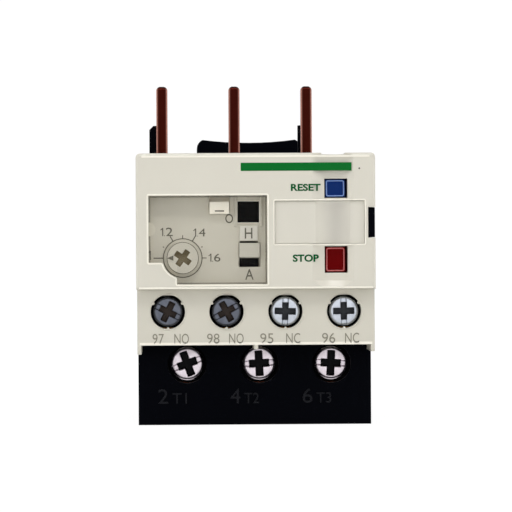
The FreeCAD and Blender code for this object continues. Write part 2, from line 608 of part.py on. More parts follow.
COIL_FACETS = 8  # straight facets in a turn
HEATER_TURNS = 5
SPRING_TURNS = 6
SNAP_TURNS = 3
AUXILIARIES = {"97": "-aux_outer", "98": "-aux_inner", "95": "aux_inner", "96": "aux_outer"}
side = "overall_width / 2"
window_back = "window_depth + window_floor"
flap_axis = "(window_right - flap_gap - flap_thickness / 2)"
flap_axis_depth = "(flap_front + flap_thickness / 2)"
reset_height = "(reset_bottom + reset_size / 2)"
stop_height = "(stop_bottom + stop_size / 2)"
button_middle = "(button_left + button_width / 2)"
floor_top = "(block_top + base_wall)"
base_top = "(cover_top - base_top_inset)"
base_side = f"({side} - base_side_inset)"
cavity_side = f"({side} - base_side_inset - base_wall)"
cavity_top = "(cover_top - base_top_inset - base_wall)"
cover_inside = f"({side} - cover_wall)"
cover_ceiling = "(cover_top - cover_wall)"
tail_bottom = "(seam_height + 2 * seam_gap)"
blade_foot = "(seam_height + 2 * seam_gap + aux_tail_thickness)"
bar_top = "(block_top + base_wall + load_bar_lift + load_bar_thickness)"
upper_slider = "(slider_bottom + slider_thickness + slider_gap)"
slider_top = "(slider_bottom + 2 * slider_thickness + slider_gap)"
slider_back = "(slider_front + slider_depth)"
trip_back = "(trip_front + trip_thickness)"
blade_back = "(blade_front + blade_width)"
blade_middle = "(blade_front + blade_width / 2)"
cam_back = "(cam_front + cam_thickness)"
reset_place = (button_middle, reset_height)
stop_place = (button_middle, stop_height)


def load_place(pole):
    return middle_of(pole, "load_middle", "load_pitch")


def pin_place(pole):
    return middle_of(pole, "pin_middle", "pin_pitch")


def bimetal_place(pole):
    return f"({pin_place(pole)} + bimetal_offset)"


def around(across, up, wide, high):
    """Rectangle of a given width and height about a middle point."""
    return rectangle(f"{across} - ({wide}) / 2", f"{across} + ({wide}) / 2",
                     f"{up} - ({high}) / 2", f"{up} + ({high}) / 2")


def turned(across, up, wide, high, angle):
    """Rectangle turned about its middle (across, up)."""
    corners = []
    for right, top in ((-1, -1), (1, -1), (1, 1), (-1, 1)):
        along = f"({right} * ({wide}) / 2)"
        over = f"({top} * ({high}) / 2)"
        corners.append((f"{across} + {along} * cos({angle}) - {over} * sin({angle})",
                        f"{up} + {along} * sin({angle}) + {over} * cos({angle})"))
    return corners


def arm(start, end, wide):
    """Outline of an upright or slanting arm between two points."""
    return [(f"{start[0]} - {wide} / 2", start[1]), (f"{start[0]} + {wide} / 2", start[1]),
            (f"{end[0]} + {wide} / 2", end[1]), (f"{end[0]} - {wide} / 2", end[1])]


def base_housing():
    piece = Piece("base_housing")
    piece.add("x", f"-{base_side}", base_side,
              [("block_face", "0"), ("base_back", "0"), ("base_back", base_top),
               ("cover_depth", base_top), ("cover_depth", "block_top"), ("block_face", "block_top")])
    piece.round_off("base_edge", piece.edges_along("z", [(f"-{base_side}", "base_back"),
                                                         (base_side, "base_back")]))
    # room for the bimetal strips, open to the cover
    piece.cut("y", "cover_depth + base_wall", "base_back - base_wall",
              rectangle(f"-{cavity_side}", cavity_side, floor_top, cavity_top))
    piece.cut("y", "cover_depth", "cover_depth + base_wall",
              rectangle(f"-{cavity_side}", cavity_side, "seam_height", cavity_top))
    rebate = f"({cover_inside} + tongue_thickness + seam_gap)"
    rebate_back = "(cover_depth + tongue_length + seam_gap)"
    piece.cut("y", "cover_depth", rebate_back,
              rectangle(f"-{rebate}", rebate, "seam_height",
                        f"{cover_ceiling} + tongue_thickness + seam_gap"))
    ledge = f"({cover_inside} - seam_gap)"
    for sign in ("-", ""):
        outer = [f"{sign}({ledge} - ledge_width)", f"{sign}{cavity_side}"]
        inner = [f"{sign}({ledge} - ledge_width)", f"{sign}{ledge}"]
        piece.add("y", rebate_back, "cover_depth + ledge_depth",
                  rectangle(*outer, "seam_height", cavity_top))
        piece.add("y", "cover_depth", rebate_back, rectangle(*inner, "frame_bottom", cavity_top))
    # walls between the poles carry the sliders, ribs above hold the sliders down
    walls = []
    ribs = []
    for pole in POLES[:-1]:
        place = f"({bimetal_place(pole)} + pin_pitch / 2)"
        left, right = f"{place} - partition_thickness / 2", f"{place} + partition_thickness / 2"
        walls.append(rectangle(left, right, floor_top, "slider_bottom - slider_gap"))
        ribs.append(rectangle(left, right, f"{slider_top} + slider_gap", cavity_top))
    piece.add("y", "partition_front", "base_back - base_wall", *walls)
    piece.add("y", "slider_front + rib_inset", f"{slider_back} - rib_inset", *ribs)
    # load terminals: wells, wire chambers and slots for the bars
    piece.cut("y", "block_face", "load_chamber_front",
              *[circle(load_place(pole), "load_height", "load_well_radius") for pole in POLES])
    piece.cut("z", "0", "block_top",
              *[around(load_place(pole), "(load_chamber_front + load_chamber_back) / 2",
                       "load_chamber_width", "load_chamber_back - load_chamber_front")
                for pole in POLES])
    piece.cut("z", "block_top", floor_top,
              *[around(load_place(pole), "(load_bar_front + load_bar_thickness / 2)",
                       "load_bar_width + 2 * seam_gap", "load_bar_thickness + 2 * seam_gap")
                for pole in POLES])
    piece.cut("z", cavity_top, base_top,
              *[around(pin_place(pole), "(pin_front + pin_thickness / 2)",
                       "pin_width + 2 * seam_gap", "pin_thickness + 2 * seam_gap")
                for pole in POLES])
    # bars that guide the relay into the contactor
    guide_back = "(guide_front + guide_depth)"
    piece.add("z", base_top, "guide_top",
              rectangle("guide_left", "guide_left + guide_width", "guide_front", guide_back),
              rectangle("guide_right - guide_width", "guide_right", "guide_front", guide_back))
    piece.bevel("guide_chamfer", piece.edges_along("y", [("guide_left", "guide_top"),
                                                         ("guide_right", "guide_top")]))
    # mounting hook
    piece.add("y", "hook_front", "base_back", around("0", f"(({base_top} + hook_top) / 2)",
                                                     "hook_width", f"hook_top - {base_top}"))
    piece.add("x", "-hook_width / 2", "hook_width / 2",
              [("base_back", "hook_top"), ("overall_depth", "hook_top"),
               ("overall_depth", "hook_top - hook_nose / 2"), ("base_back", "hook_top - hook_nose")])
    piece.round_off("hook_corner", piece.edges_along("y", [("-hook_width / 2", "hook_top"),
                                                           ("hook_width / 2", "hook_top")]))
    sag_radius = "((hook_width ^ 2 / 4 + hook_sag ^ 2) / (2 * hook_sag))"
    piece.cut("y", "hook_front", "overall_depth",
              circle("0", f"hook_top - hook_sag + {sag_radius}", sag_radius))
    # catch that holds the cover
    piece.add("y", "catch_face", "cover_depth",
              rectangle(f"{base_side} - catch_thickness", base_side, "catch_bottom",
                        "catch_bottom + catch_height"))


def front_cover():
    piece = Piece("front_cover")
    piece.add("y", "0", "cover_depth", rectangle(f"-{side}", side, "seam_height", "cover_top"))
    piece.round_off("cover_corner", piece.edges_along("y", [(f"-{side}", "cover_top"),
                                                            (side, "cover_top")]))
    piece.round_off("cover_edge", piece.edges_at("y", "0"))
    piece.cut("y", "front_wall", "cover_depth",
              rectangle(f"-{cover_inside}", cover_inside, "seam_height", cover_ceiling))
    outer = f"({cover_inside} + tongue_thickness)"
    tongue_top = f"({cover_ceiling} + tongue_thickness)"
    piece.add("y", "cover_depth", "cover_depth + tongue_length",
              [(f"-{outer}", "seam_height"), (f"-{cover_inside}", "seam_height"),
               (f"-{cover_inside}", cover_ceiling), (cover_inside, cover_ceiling),
               (cover_inside, "seam_height"), (outer, "seam_height"),
               (outer, tongue_top), (f"-{outer}", tongue_top)])
    # boss that carries the window's floor, then the recess with its solid corner by the dial
    piece.add("y", "front_wall", window_back,
              rectangle("window_left - window_rim", "window_right + window_rim",
                        "seam_height", "window_top + window_rim"))
    piece.cut("y", "0", "window_depth", window_outline("0"))
    piece.cut("y", "0", "window_depth", circle("dial_middle", "dial_height", "dial_recess_radius"))
    piece.cut("y", "window_depth", window_back,
              circle("dial_middle", "dial_height", "dial_skirt_radius + pin_clearance"),
              rectangle("test_left - knob_play", "test_left + test_width + knob_play",
                        "test_bottom - knob_play", "test_bottom + test_height + test_travel + knob_play"),
              rectangle("indicator_left", "indicator_left + indicator_width",
                        "indicator_bottom", "indicator_bottom + indicator_height"),
              rectangle("selector_left - knob_play", "selector_left + selector_width + knob_play",
                        "selector_bottom - selector_travel - knob_play",
                        "selector_bottom + selector_height + knob_play"))
    legend_bottom = "selector_bottom + selector_height + legend_rise"
    piece.add("y", "window_depth - legend_relief", "window_depth",
              rectangle("selector_left + knob_play", "selector_left + knob_play + legend_width",
                        legend_bottom, f"{legend_bottom} + legend_height"))
    rail_bottom = "indicator_bottom - knob_flange"
    rail_top = "indicator_bottom + indicator_height + flag_drop + knob_flange"
    left_rail = "(indicator_left - knob_play)"
    right_rail = "(indicator_left + indicator_width + knob_play)"
    piece.add("y", "front_wall", f"{window_back} + flange_play + flag_thickness",
              rectangle(f"{left_rail} - rail_width", left_rail, rail_bottom, rail_top),
              rectangle(right_rail, f"{right_rail} + rail_width", rail_bottom, rail_top))
    # guide blocks and openings of the two buttons
    blocks = []
    openings = []
    for bottom, high in (("reset_bottom", "reset_size"), ("stop_bottom", "stop_size")):
        blocks.append(rectangle("button_left - window_rim", "button_left + button_width + window_rim",
                                f"{bottom} - window_rim", f"{bottom} + {high} + window_rim"))
        openings.append(rectangle("button_left - button_gap",
                                  "button_left + button_width + button_side_gap",
                                  f"{bottom} - button_gap", f"{bottom} + {high} + button_gap"))
    piece.add("y", "front_wall", "button_guide", *blocks)
    piece.cut("y", "0", "button_guide", *openings)
    piece.cut("y", "0", "marker_face + marker_thickness",
              rectangle("marker_left", "marker_right", "marker_bottom", "marker_top"))
    piece.scoop()
    piece.cut("z", "cover_top - notch_depth", "cover_top",
              rectangle("notch_left", "notch_left + notch_width", "0", "cover_depth"))
    piece.cut("y", "0", "cover_depth",
              rectangle(f"{base_side} - catch_thickness - seam_gap", side, "catch_bottom - seam_gap",
                        "catch_bottom + catch_height + seam_gap"))
    piece.cut("z", "window_bottom - flap_pin_length - seam_gap",
              "window_top + flap_pin_length + seam_gap",
              circle(flap_axis, flap_axis_depth, "flap_pin_radius + pin_clearance"))


def window_outline(gap, right="window_right"):
    """Outline of the window recess, drawn in by a gap."""
    step = f"window_left + window_step_width + {gap}"
    sill = f"window_bottom + window_step_height + {gap}"
    return [(step, f"window_bottom + {gap}"), (f"{right} - {gap}", f"window_bottom + {gap}"),
            (f"{right} - {gap}", f"window_top - {gap}"),
            (f"window_left + {gap}", f"window_top - {gap}"),
            (f"window_left + {gap}", sill), (step, sill)]


def window_cover():
    piece = Piece("window_cover")
    piece.add("y", "flap_front", "flap_front + flap_thickness",
              window_outline("flap_gap", f"({flap_axis} + flap_gap)"))
    piece.add("z", "window_bottom + flap_gap", "window_top - flap_gap",
              circle(flap_axis, flap_axis_depth, "flap_thickness / 2"))
    piece.add("z", "window_bottom - flap_pin_length", "window_top + flap_pin_length",
              circle(flap_axis, flap_axis_depth, "flap_pin_radius"))
    piece.cut("y", "flap_front", "flap_front + flap_thickness",
              circle("window_left + flap_gap", "(window_bottom + window_step_height + window_top) / 2",
                     "flap_notch_radius"))


def marker_plate():
    piece = Piece("marker_plate")
    piece.add("y", "marker_face", "marker_face + marker_thickness",
              rectangle("marker_left + marker_gap", "marker_right - marker_gap",
                        "marker_bottom + marker_gap", "marker_top - marker_gap"))
    piece.scoop()


def setting_dial():
    piece = Piece("setting_dial")
    flange_front = f"({window_back} + flange_play)"
    flange_back = f"({window_back} + flange_play + flange_thickness)"
    piece.turn("dial_middle", "dial_height",
               [("dial_face", "0"), ("dial_face", "dial_radius"), ("dial_ring_depth", "dial_radius"),
                ("dial_ring_depth", "dial_skirt_radius"), (flange_front, "dial_skirt_radius"),
                (flange_front, "dial_flange_radius"), (flange_back, "dial_flange_radius"),
                (flange_back, "dial_shaft_radius"), (cam_back, "dial_shaft_radius"), (cam_back, "0")])
    piece.add("y", "cam_front", cam_back, circle("dial_middle + cam_offset", "dial_height", "cam_radius"))
    piece.cut("y", "cam_front - axle_hole_reach", cam_back,
              circle("dial_middle", "dial_height", "axle_radius + pin_clearance"))
    for angle in ("driver_slot_angle", "(driver_slot_angle + 90)"):
        piece.cut("y", "dial_face", "dial_face + driver_slot_depth",
                  turned("dial_middle", "dial_height", "driver_slot_length", "driver_slot_width", angle))


def knob(label, left, wide, bottom, high, down, up):
    """Small knob through the window's floor, with a flange that covers its slot."""
    piece = Piece(label)
    front = f"({window_back} + flange_play)"
    piece.add("y", "knob_face", front, rectangle(left, f"{left} + {wide}", bottom, f"{bottom} + {high}"))
    piece.add("y", front, f"{front} + flange_thickness",
              rectangle(f"{left} - knob_flange", f"{left} + {wide} + knob_flange",
                        f"{bottom} - {down} - {up} - knob_overlap",
                        f"{bottom} + {high} + {down} + {up} + knob_overlap"))
    return piece


def test_tab():
    piece = knob("test_tab", "test_left", "test_width", "test_bottom", "test_height", "0", "test_travel")
    piece.add("y", "knob_face", "window_depth - knob_play",
              around("(test_left + test_width / 2)", "(test_bottom - test_lip / 2)",
                     "test_lip_width", "test_lip"))


def mode_selector():
    knob("mode_selector", "selector_left", "selector_width", "selector_bottom", "selector_height",
         "selector_travel", "0")


def trip_flag():
    piece = Piece("trip_flag")
    front = f"({window_back} + flange_play)"
    piece.add("y", front, f"{front} + flag_thickness",
              rectangle("indicator_left", "indicator_left + indicator_width",
                        "indicator_bottom + flag_drop",
                        "indicator_bottom + flag_drop + indicator_height"))


def button(label, bottom, high):
    piece = Piece(label)
    left, right = "button_left", "button_left + button_width"
    back = "(button_guide + flange_play)"
    shoulder = f"({back} + shoulder_thickness)"
    piece.add("y", "button_face", back, rectangle(left, right, bottom, f"{bottom} + {high}"))
    piece.bevel("button_bevel", piece.edges_at("y", "button_face"))
    piece.add("y", back, shoulder,
              rectangle(f"{left} - shoulder_width", f"{right} + shoulder_width",
                        f"{bottom} - shoulder_width", f"{bottom} + {high} + shoulder_width"))
    piece.add("y", shoulder, "stem_end",
              circle(button_middle, f"{bottom} + {high} / 2", "stem_radius"))


def coil(label, place, axis, start, height, turns, radius, wide, high):
    """A spring or heater: flat wire wound along the axis in straight facets, inside the housing."""
    centre_line, half_wide, half_high = number(radius), number(wide) / 2, number(high) / 2
    rise = number(height) / (turns * COIL_FACETS)
    sections = []
    for step in range(turns * COIL_FACETS + 1):
        angle = 2 * math.pi * step / COIL_FACETS - math.pi / 2
        outward = FreeCAD.Vector(math.cos(angle), math.sin(angle), 0)
        level = FreeCAD.Vector(0, 0, rise * step)
        upward = FreeCAD.Vector(0, 0, half_high)
        corners = [outward * (centre_line + sign * half_wide) + level + lift * upward
                   for sign, lift in ((-1, -1), (1, -1), (1, 1), (-1, 1))]
        sections.append(Part.makePolygon(corners + corners[:1]))
    wound = document.addObject("Part::Feature", label)
    wound.Label = label
    wound.Shape = Part.makeLoft(sections, True, True)
    if axis == "y":
        wound.Placement.Rotation = FreeCAD.Rotation(FreeCAD.Vector(1, 0, 0), -90)
    across, other = place
    depth, up = (start, other) if axis == "y" else (other, start)
    bind(wound, ".Placement.Base.x", across)
    bind(wound, ".Placement.Base.y", f"{depth} - overall_depth / 2")
    bind(wound, ".Placement.Base.z", up)
    nodes.append(wound)


def return_spring(label, place):
    start = "(button_guide + flange_play + shoulder_thickness + spring_wire / 2 + seam_gap)"
    coil(label, place, "y", start, f"tube_front - spring_wire / 2 - seam_gap - {start}",
         SPRING_TURNS, "spring_radius", "spring_wire", "spring_wire")


def aux_terminal_housing():
    piece = Piece("aux_terminal_housing")
    half = f"({side} - aux_side_inset)"
    places = AUXILIARIES.values()
    piece.add("y", "aux_face", "cover_depth", rectangle(f"-{half}", half, "block_top", "seam_height"))
    piece.add("y", "aux_face", "aux_foot_back",
              rectangle(f"-{half}", f"-{half} + aux_foot_width",
                        "block_top - aux_left_foot", "block_top"),
              rectangle(f"{half} - aux_foot_width", half, "block_top - aux_right_foot", "block_top"),
              around("0", "(block_top - aux_middle_foot / 2)", "aux_middle_foot", "aux_middle_foot"))
    piece.cut("y", "aux_face", "aux_chamber_front",
              *[circle(place, "aux_screw_height", "aux_well_radius") for place in places])
    piece.cut("z", "block_top", "aux_chamber_top",
              *[around(place, "(aux_chamber_front + aux_chamber_back) / 2", "aux_chamber_width",
                       "aux_chamber_back - aux_chamber_front") for place in places])
    piece.cut("z", "aux_chamber_top", "seam_height",
              *[around(place, "(aux_plate_front + aux_plate_thickness / 2)",
                       "aux_neck_width + 2 * seam_gap", "aux_plate_thickness + 2 * seam_gap")
                for place in places])
    # cored out behind the chambers, with room for the screws' ends
    piece.cut("y", "aux_chamber_back", "aux_chamber_back + aux_wall",
              *[around(place, "aux_screw_height", "2 * (aux_shank_radius + end_play)",
                       "2 * (aux_shank_radius + end_play)") for place in places])
    piece.cut("y", "aux_chamber_back + aux_wall", "cover_depth",
              *[around(place, "((block_top + aux_wall + aux_chamber_top) / 2)",
                       "aux_chamber_width", "aux_chamber_top - block_top - aux_wall")
                for place in places])


def screw(label, place, height, head_front, head_radius, head_height, shank_radius, end, cross, angle):
    """Cheese-head screw with a shallow slot and a deeper cross recess in line with it."""
    piece = Piece(label)
    piece.turn(place, height,
               [(head_front, "0"), (head_front, f"{head_radius} - screw_chamfer"),
                (f"{head_front} + screw_chamfer", head_radius),
                (f"{head_front} + {head_height}", head_radius),
                (f"{head_front} + {head_height}", shank_radius),
                (end, shank_radius), (end, "0")])
    piece.cut("y", head_front, f"{head_front} + slot_depth",
              turned(place, height, f"2 * {head_radius} + slot_width", "slot_width", angle))
    for arm_angle in (angle, f"({angle} + 90)"):
        piece.cut("y", head_front, f"{head_front} + cross_depth",
                  turned(place, height, cross, "cross_width", arm_angle))


def clamp(label, place, height, front, thickness, wide, high, shank_radius):
    piece = Piece(label)
    piece.add("y", front, f"{front} + {thickness}", around(place, height, wide, high),
              circle(place, height, f"{shank_radius} + screw_play"))


def aux_plate(label, place, tail_left, tail_right):
    """Terminal plate with a neck through the housing's top and a tail to the contact."""
    piece = Piece(label)
    back = "aux_plate_front + aux_plate_thickness"
    piece.add("y", "aux_plate_front", back,
              rectangle(f"{place} - aux_plate_width / 2", f"{place} + aux_plate_width / 2",
                        "aux_plate_bottom", "aux_chamber_top - seam_gap"))
    piece.add("y", "aux_plate_front", back,
              rectangle(f"{place} - aux_neck_width / 2", f"{place} + aux_neck_width / 2",
                        "aux_chamber_top - seam_gap", blade_foot))
    piece.add("z", tail_bottom, blade_foot,
              rectangle(tail_left, tail_right, back, "aux_tail_end"))
    piece.cut("y", "aux_plate_front", back,
              circle(place, "aux_screw_height", "aux_shank_radius + screw_play"))


def aux_terminals():
    for name, place in AUXILIARIES.items():
        right = f"{place} + aux_neck_width / 2"
        if name == "96":
            right = "closed_strip_side + strip_thickness"
        aux_plate(f"aux_plate_{name}", place, f"{place} - aux_neck_width / 2", right)
        clamp(f"aux_clamp_{name}", place, "aux_screw_height", "(aux_head_front + aux_head_height)",
              "aux_clamp_thickness", "aux_clamp_width", "aux_clamp_height", "aux_shank_radius")
        screw(f"aux_screw_{name}", place, "aux_screw_height", "aux_head_front", "aux_head_radius",
              "aux_head_height", "aux_shank_radius", "aux_shank_end", "aux_cross_length",
              f"aux_slot_{name}")


def load_terminals():
    for pole in POLES:
        place = load_place(pole)
        load_bar(f"load_terminal_bar_{pole}", place, bimetal_place(pole))
        clamp(f"load_clamp_{pole}", place, "load_height", "(load_head_front + load_head_height)",
              "load_clamp_thickness", "load_clamp_width", "load_clamp_height", "load_shank_radius")
        screw(f"load_screw_{pole}", place, "load_height", "load_head_front", "load_head_radius",
              "load_head_height", "load_shank_radius", "load_shank_end", "load_cross_length",
              f"load_slot_{pole}")


def load_bar(label, place, strip):
    """Bar from the wire chamber through the floor to the foot of the pole's bimetal strip."""
    piece = Piece(label)
    back = "load_bar_front + load_bar_thickness"
    lug_middle = "(bimetal_thickness / 2 + lug_gap + lug_thickness / 2)"
    piece.add("y", "load_bar_front", back,
              rectangle(f"{place} - load_bar_width / 2", f"{place} + load_bar_width / 2",
                        "load_bar_bottom", bar_top))
    piece.add("z", f"{bar_top} - load_bar_thickness", bar_top,
              rectangle(f"{strip} - {lug_middle} - lug_thickness / 2",
                        f"{strip} + {lug_middle} + lug_thickness / 2", back, "load_bar_end"))
    piece.add("z", bar_top, f"{bar_top} + lug_height",
              around(f"({strip} - {lug_middle})", "bimetal_depth", "lug_thickness", "bimetal_width"),
              around(f"({strip} + {lug_middle})", "bimetal_depth", "lug_thickness", "bimetal_width"))
    piece.cut("y", "load_bar_front", back, circle(place, "load_height", "load_shank_radius + screw_play"))


def poles():
    for pole in POLES:
        strip = bimetal_place(pole)
        pin = Piece(f"line_pin_{pole}")
        pin.add("y", "pin_front", "pin_front + pin_thickness",
                rectangle(f"{pin_place(pole)} - pin_width / 2", f"{pin_place(pole)} + pin_width / 2",
                          "pin_bottom", "overall_height"))
        pin.bevel("pin_taper", pin.edges_at("z", "overall_height"))
        pin.add("z", "pin_bottom", "pin_bottom + pin_tab",
                rectangle(f"{pin_place(pole)} - pin_width / 2", f"{strip} + pin_width / 2",
                          "pin_front", "bimetal_depth - bimetal_width / 2 - pin_tab_gap"))
        bimetal = Piece(f"bimetal_strip_{pole}")
        bimetal.add("z", f"{bar_top} + seam_gap", "bimetal_top",
                    around(strip, "bimetal_depth", "bimetal_thickness", "bimetal_width"))
        coil(f"heater_coil_{pole}", (strip, "bimetal_depth"), "z", "coil_bottom", "coil_height",
             HEATER_TURNS, "coil_radius", "coil_wire", "2 * coil_wire")


def slider_plate(label, bottom, left_room, right_room):
    """Plate across the three strips, with a slot for each."""
    piece = Piece(label)
    piece.add("z", bottom, f"{bottom} + slider_thickness",
              rectangle("slider_left", "slider_right", "slider_front", slider_back))
    half_slot = "(bimetal_width / 2 + push_gap)"
    piece.cut("z", bottom, f"{bottom} + slider_thickness",
              *[rectangle(f"{bimetal_place(pole)} - bimetal_thickness / 2 - {left_room}",
                          f"{bimetal_place(pole)} + bimetal_thickness / 2 + {right_room}",
                          f"bimetal_depth - {half_slot}", f"bimetal_depth + {half_slot}")
                for pole in POLES])
    return piece


peg_depth = "(differential_pivot_depth + differential_short_arm)"


def trip_slider():
    piece = slider_plate("trip_slider", upper_slider, "slot_room", "push_gap")
    arm_right = "arm_left + arm_thickness"
    piece.add("y", "slider_front - push_gap", "slider_front",
              rectangle("arm_left", arm_right, upper_slider, slider_top))
    piece.add("y", "slider_front - push_gap - arm_leg", "slider_front - push_gap",
              rectangle("arm_left", arm_right, "arm_bottom", slider_top))
    piece.add("y", "arm_front", "slider_front - push_gap - arm_leg",
              rectangle("arm_left", arm_right, "arm_bottom", "arm_bottom + arm_height"))
    piece.cut("z", upper_slider, slider_top,
              rectangle("differential_pivot - differential_lag - peg_radius - push_gap",
                        "differential_pivot + peg_radius + push_gap",
                        f"{peg_depth} - peg_radius - push_gap", f"{peg_depth} + peg_radius + push_gap"))
    piece.add("z", slider_top, f"{slider_top} + slider_gap + differential_thickness",
              circle("differential_pivot", "differential_pivot_depth", "differential_pin_radius"))


def differential_slider():
    piece = slider_plate("differential_slider", "slider_bottom", "push_gap", "slot_room")
    piece.cut("z", "slider_bottom", "slider_bottom + slider_thickness",
              around("differential_pivot", peg_depth, "2 * (peg_radius + seam_gap)",
                     "2 * (peg_radius + push_gap)"))


def differential_lever():
    piece = Piece("differential_lever")
    bottom = f"({slider_top} + slider_gap)"
    top = f"({bottom} + differential_thickness)"
    half = "differential_width / 2"
    piece.add("z", bottom, top,
              rectangle(f"differential_pivot - {half}", f"differential_pivot + {half}",
                        "differential_pivot_depth - differential_arm", f"{peg_depth} + peg_radius"))
    piece.add("z", bottom, top,
              circle("differential_pivot", "differential_pivot_depth",
                     "differential_pin_radius + pin_clearance + hub_wall"))
    piece.cut("z", bottom, top,
              circle("differential_pivot", "differential_pivot_depth",
                     "differential_pin_radius + pin_clearance"))
    piece.add("z", "slider_bottom", bottom, circle("differential_pivot", peg_depth, "peg_radius"))


def mechanism_frame():
    piece = Piece("mechanism_frame")
    half = f"({cover_inside} - seam_gap)"
    piece.add("y", "frame_front", "cover_depth",
              rectangle(f"-{half}", half, "frame_bottom", f"{cover_ceiling} - seam_gap"))
    piece.cut("y", "frame_front", "cover_depth",
              rectangle("arm_left - arm_room", "arm_left + arm_thickness + trip_travel + arm_room",
                        "arm_bottom - arm_room", "arm_bottom + arm_height + arm_room"))
    dial = ("dial_middle", "dial_height")
    lever = ("lever_pivot", "lever_pivot_height")
    trip = ("trip_pivot", "trip_pivot_height")
    piece.add("y", "boss_front", "frame_front",
              circle(*dial, "boss_radius"), circle(*lever, "boss_radius"))
    piece.add("y", f"{trip_back} + slider_gap", "frame_front", circle(*trip, "boss_radius"))
    piece.add("y", "cam_front", "boss_front", circle(*dial, "axle_radius"), circle(*lever, "axle_radius"))
    piece.add("y", "trip_front", f"{trip_back} + slider_gap", circle(*trip, "axle_radius"))
    piece.add("y", "tube_front", "frame_front",
              circle(*reset_place, "tube_radius"), circle(*reset_place, "stem_radius + stem_gap"),
              circle(*stop_place, "tube_radius"), circle(*stop_place, "stem_radius + stem_gap"))


def adjusting_lever():
    piece = Piece("adjusting_lever")
    front, back = "cam_front + seam_gap", f"{cam_back} - seam_gap"
    pivot = ("lever_pivot", "lever_pivot_height")
    pin = ("compensator_middle", "compensator_pivot_height")
    toe = "(dial_middle + cam_offset + cam_radius + cam_gap)"
    piece.add("y", front, back, circle(*pivot, "axle_radius + pin_clearance + hub_wall"))
    piece.add("y", front, back,
              [(toe, "dial_height - cam_radius"), (f"{toe} + lever_width", "dial_height - cam_radius"),
               (f"{toe} + lever_width", "dial_height + cam_radius + cam_gap"),
               ("lever_pivot + lever_width / 2", "lever_pivot_height"),
               ("lever_pivot - lever_width / 2", "lever_pivot_height"),
               (toe, "dial_height + cam_radius + cam_gap")])
    piece.add("y", front, back, arm(pivot, pin, "lever_width"))
    piece.add("y", front, back, circle(*pin, "compensator_pin_radius + hub_wall"))
    piece.add("y", back, "compensator_front + compensator_width", circle(*pin, "compensator_pin_radius"))
    piece.cut("y", front, back, circle(*pivot, "axle_radius + pin_clearance"))


def compensating_bimetal():
    piece = Piece("compensating_bimetal")
    back = "compensator_front + compensator_width"
    pin = ("compensator_middle", "compensator_pivot_height")
    hole = "(compensator_pin_radius + pin_clearance)"
    piece.add("y", "compensator_front", back,
              circle(*pin, f"{hole} + hub_wall"), circle(*pin, hole))
    piece.add("y", "compensator_front", back,
              rectangle("compensator_middle - compensator_thickness / 2",
                        "compensator_middle + compensator_thickness / 2", "compensator_bottom",
                        f"compensator_pivot_height - {hole} - hub_wall / 2"))


def trip_lever():
    piece = Piece("trip_lever")
    pivot = ("trip_pivot", "trip_pivot_height")
    toe_left = "(compensator_middle + compensator_thickness / 2 + toe_gap)"
    toe = (f"({toe_left} + toe_width / 2)", "(toe_bottom + toe_height / 2)")
    open_peg = ("open_peg_left", "open_peg_height")
    closed_peg = ("closed_peg_left", "closed_peg_height")
    piece.add("y", "trip_front", trip_back, circle(*pivot, "axle_radius + pin_clearance + hub_wall"))
    for end in (toe, open_peg, closed_peg):
        piece.add("y", "trip_front", trip_back, arm(pivot, end, "lever_width"))
    for peg in (open_peg, closed_peg):
        piece.add("y", "trip_front", trip_back, circle(*peg, "lever_width / 2"))
        piece.add("y", trip_back, blade_back, circle(*peg, "peg_radius"))
    piece.add("y", "arm_front", trip_back,
              rectangle(toe_left, f"{toe_left} + toe_width", "toe_bottom", "toe_bottom + toe_height"))
    piece.cut("y", "trip_front", trip_back, circle(*pivot, "axle_radius + pin_clearance"))


def moving_contact(label, place, tip_up, top):
    """Spring blade with a silver tip on its left face."""
    piece = Piece(label)
    left = f"({place} - blade_thickness / 2)"
    piece.add("y", "blade_front", blade_back,
              rectangle(left, f"{place} + blade_thickness / 2", f"{blade_foot} + blade_lift", top))
    piece.add("x", f"{left} - tip_height", left, circle(blade_middle, tip_up, "tip_radius"))


def open_fixed_contact():
    """Strip that stands on terminal 97 and reaches over to the normally open blade."""
    piece = Piece("no_fixed_contact")
    upright = AUXILIARIES["97"]
    tip_face = f"({AUXILIARIES['98']} - blade_thickness / 2 - tip_height - open_gap)"
    tab = f"({tip_face} - 2 * tip_height)"
    half = "strip_thickness / 2"
    piece.add("y", "blade_front", blade_back,
              [(f"{upright} - {half}", blade_foot), (f"{upright} + {half}", blade_foot),
               (f"{upright} + {half}", f"open_height - {half}"),
               (f"{tab} - strip_thickness", f"open_height - {half}"),
               (f"{tab} - strip_thickness", "open_height - tip_radius"),
               (tab, "open_height - tip_radius"), (tab, "open_height + tip_radius"),
               (f"{tab} - strip_thickness", "open_height + tip_radius"),
               (f"{tab} - strip_thickness", f"open_height + {half}"),
               (f"{upright} - {half}", f"open_height + {half}")])
    piece.add("x", tab, tip_face, circle(blade_middle, "open_height", "tip_radius"))


def closed_fixed_contact():
    """Strip that stands on terminal 96 and hangs down beside the normally closed blade."""
    piece = Piece("nc_fixed_contact")
    tip_face = f"({AUXILIARIES['95']} - blade_thickness / 2 - tip_height - closed_gap)"
    drop = f"({tip_face} - tip_height)"
    outer, inner = "closed_strip_side + strip_thickness / 2", "closed_strip_side - strip_thickness / 2"
    piece.add("y", "blade_front", blade_back,
              [(inner, blade_foot), (outer, blade_foot), (outer, "closed_strip_top"),
               (f"{drop} - strip_thickness", "closed_strip_top"),
               (f"{drop} - strip_thickness", "closed_height - tip_radius"),
               (drop, "closed_height - tip_radius"),
               (drop, "closed_strip_top - strip_thickness"),
               (inner, "closed_strip_top - strip_thickness")])
    piece.add("x", drop, tip_face, circle(blade_middle, "closed_height", "tip_radius"))


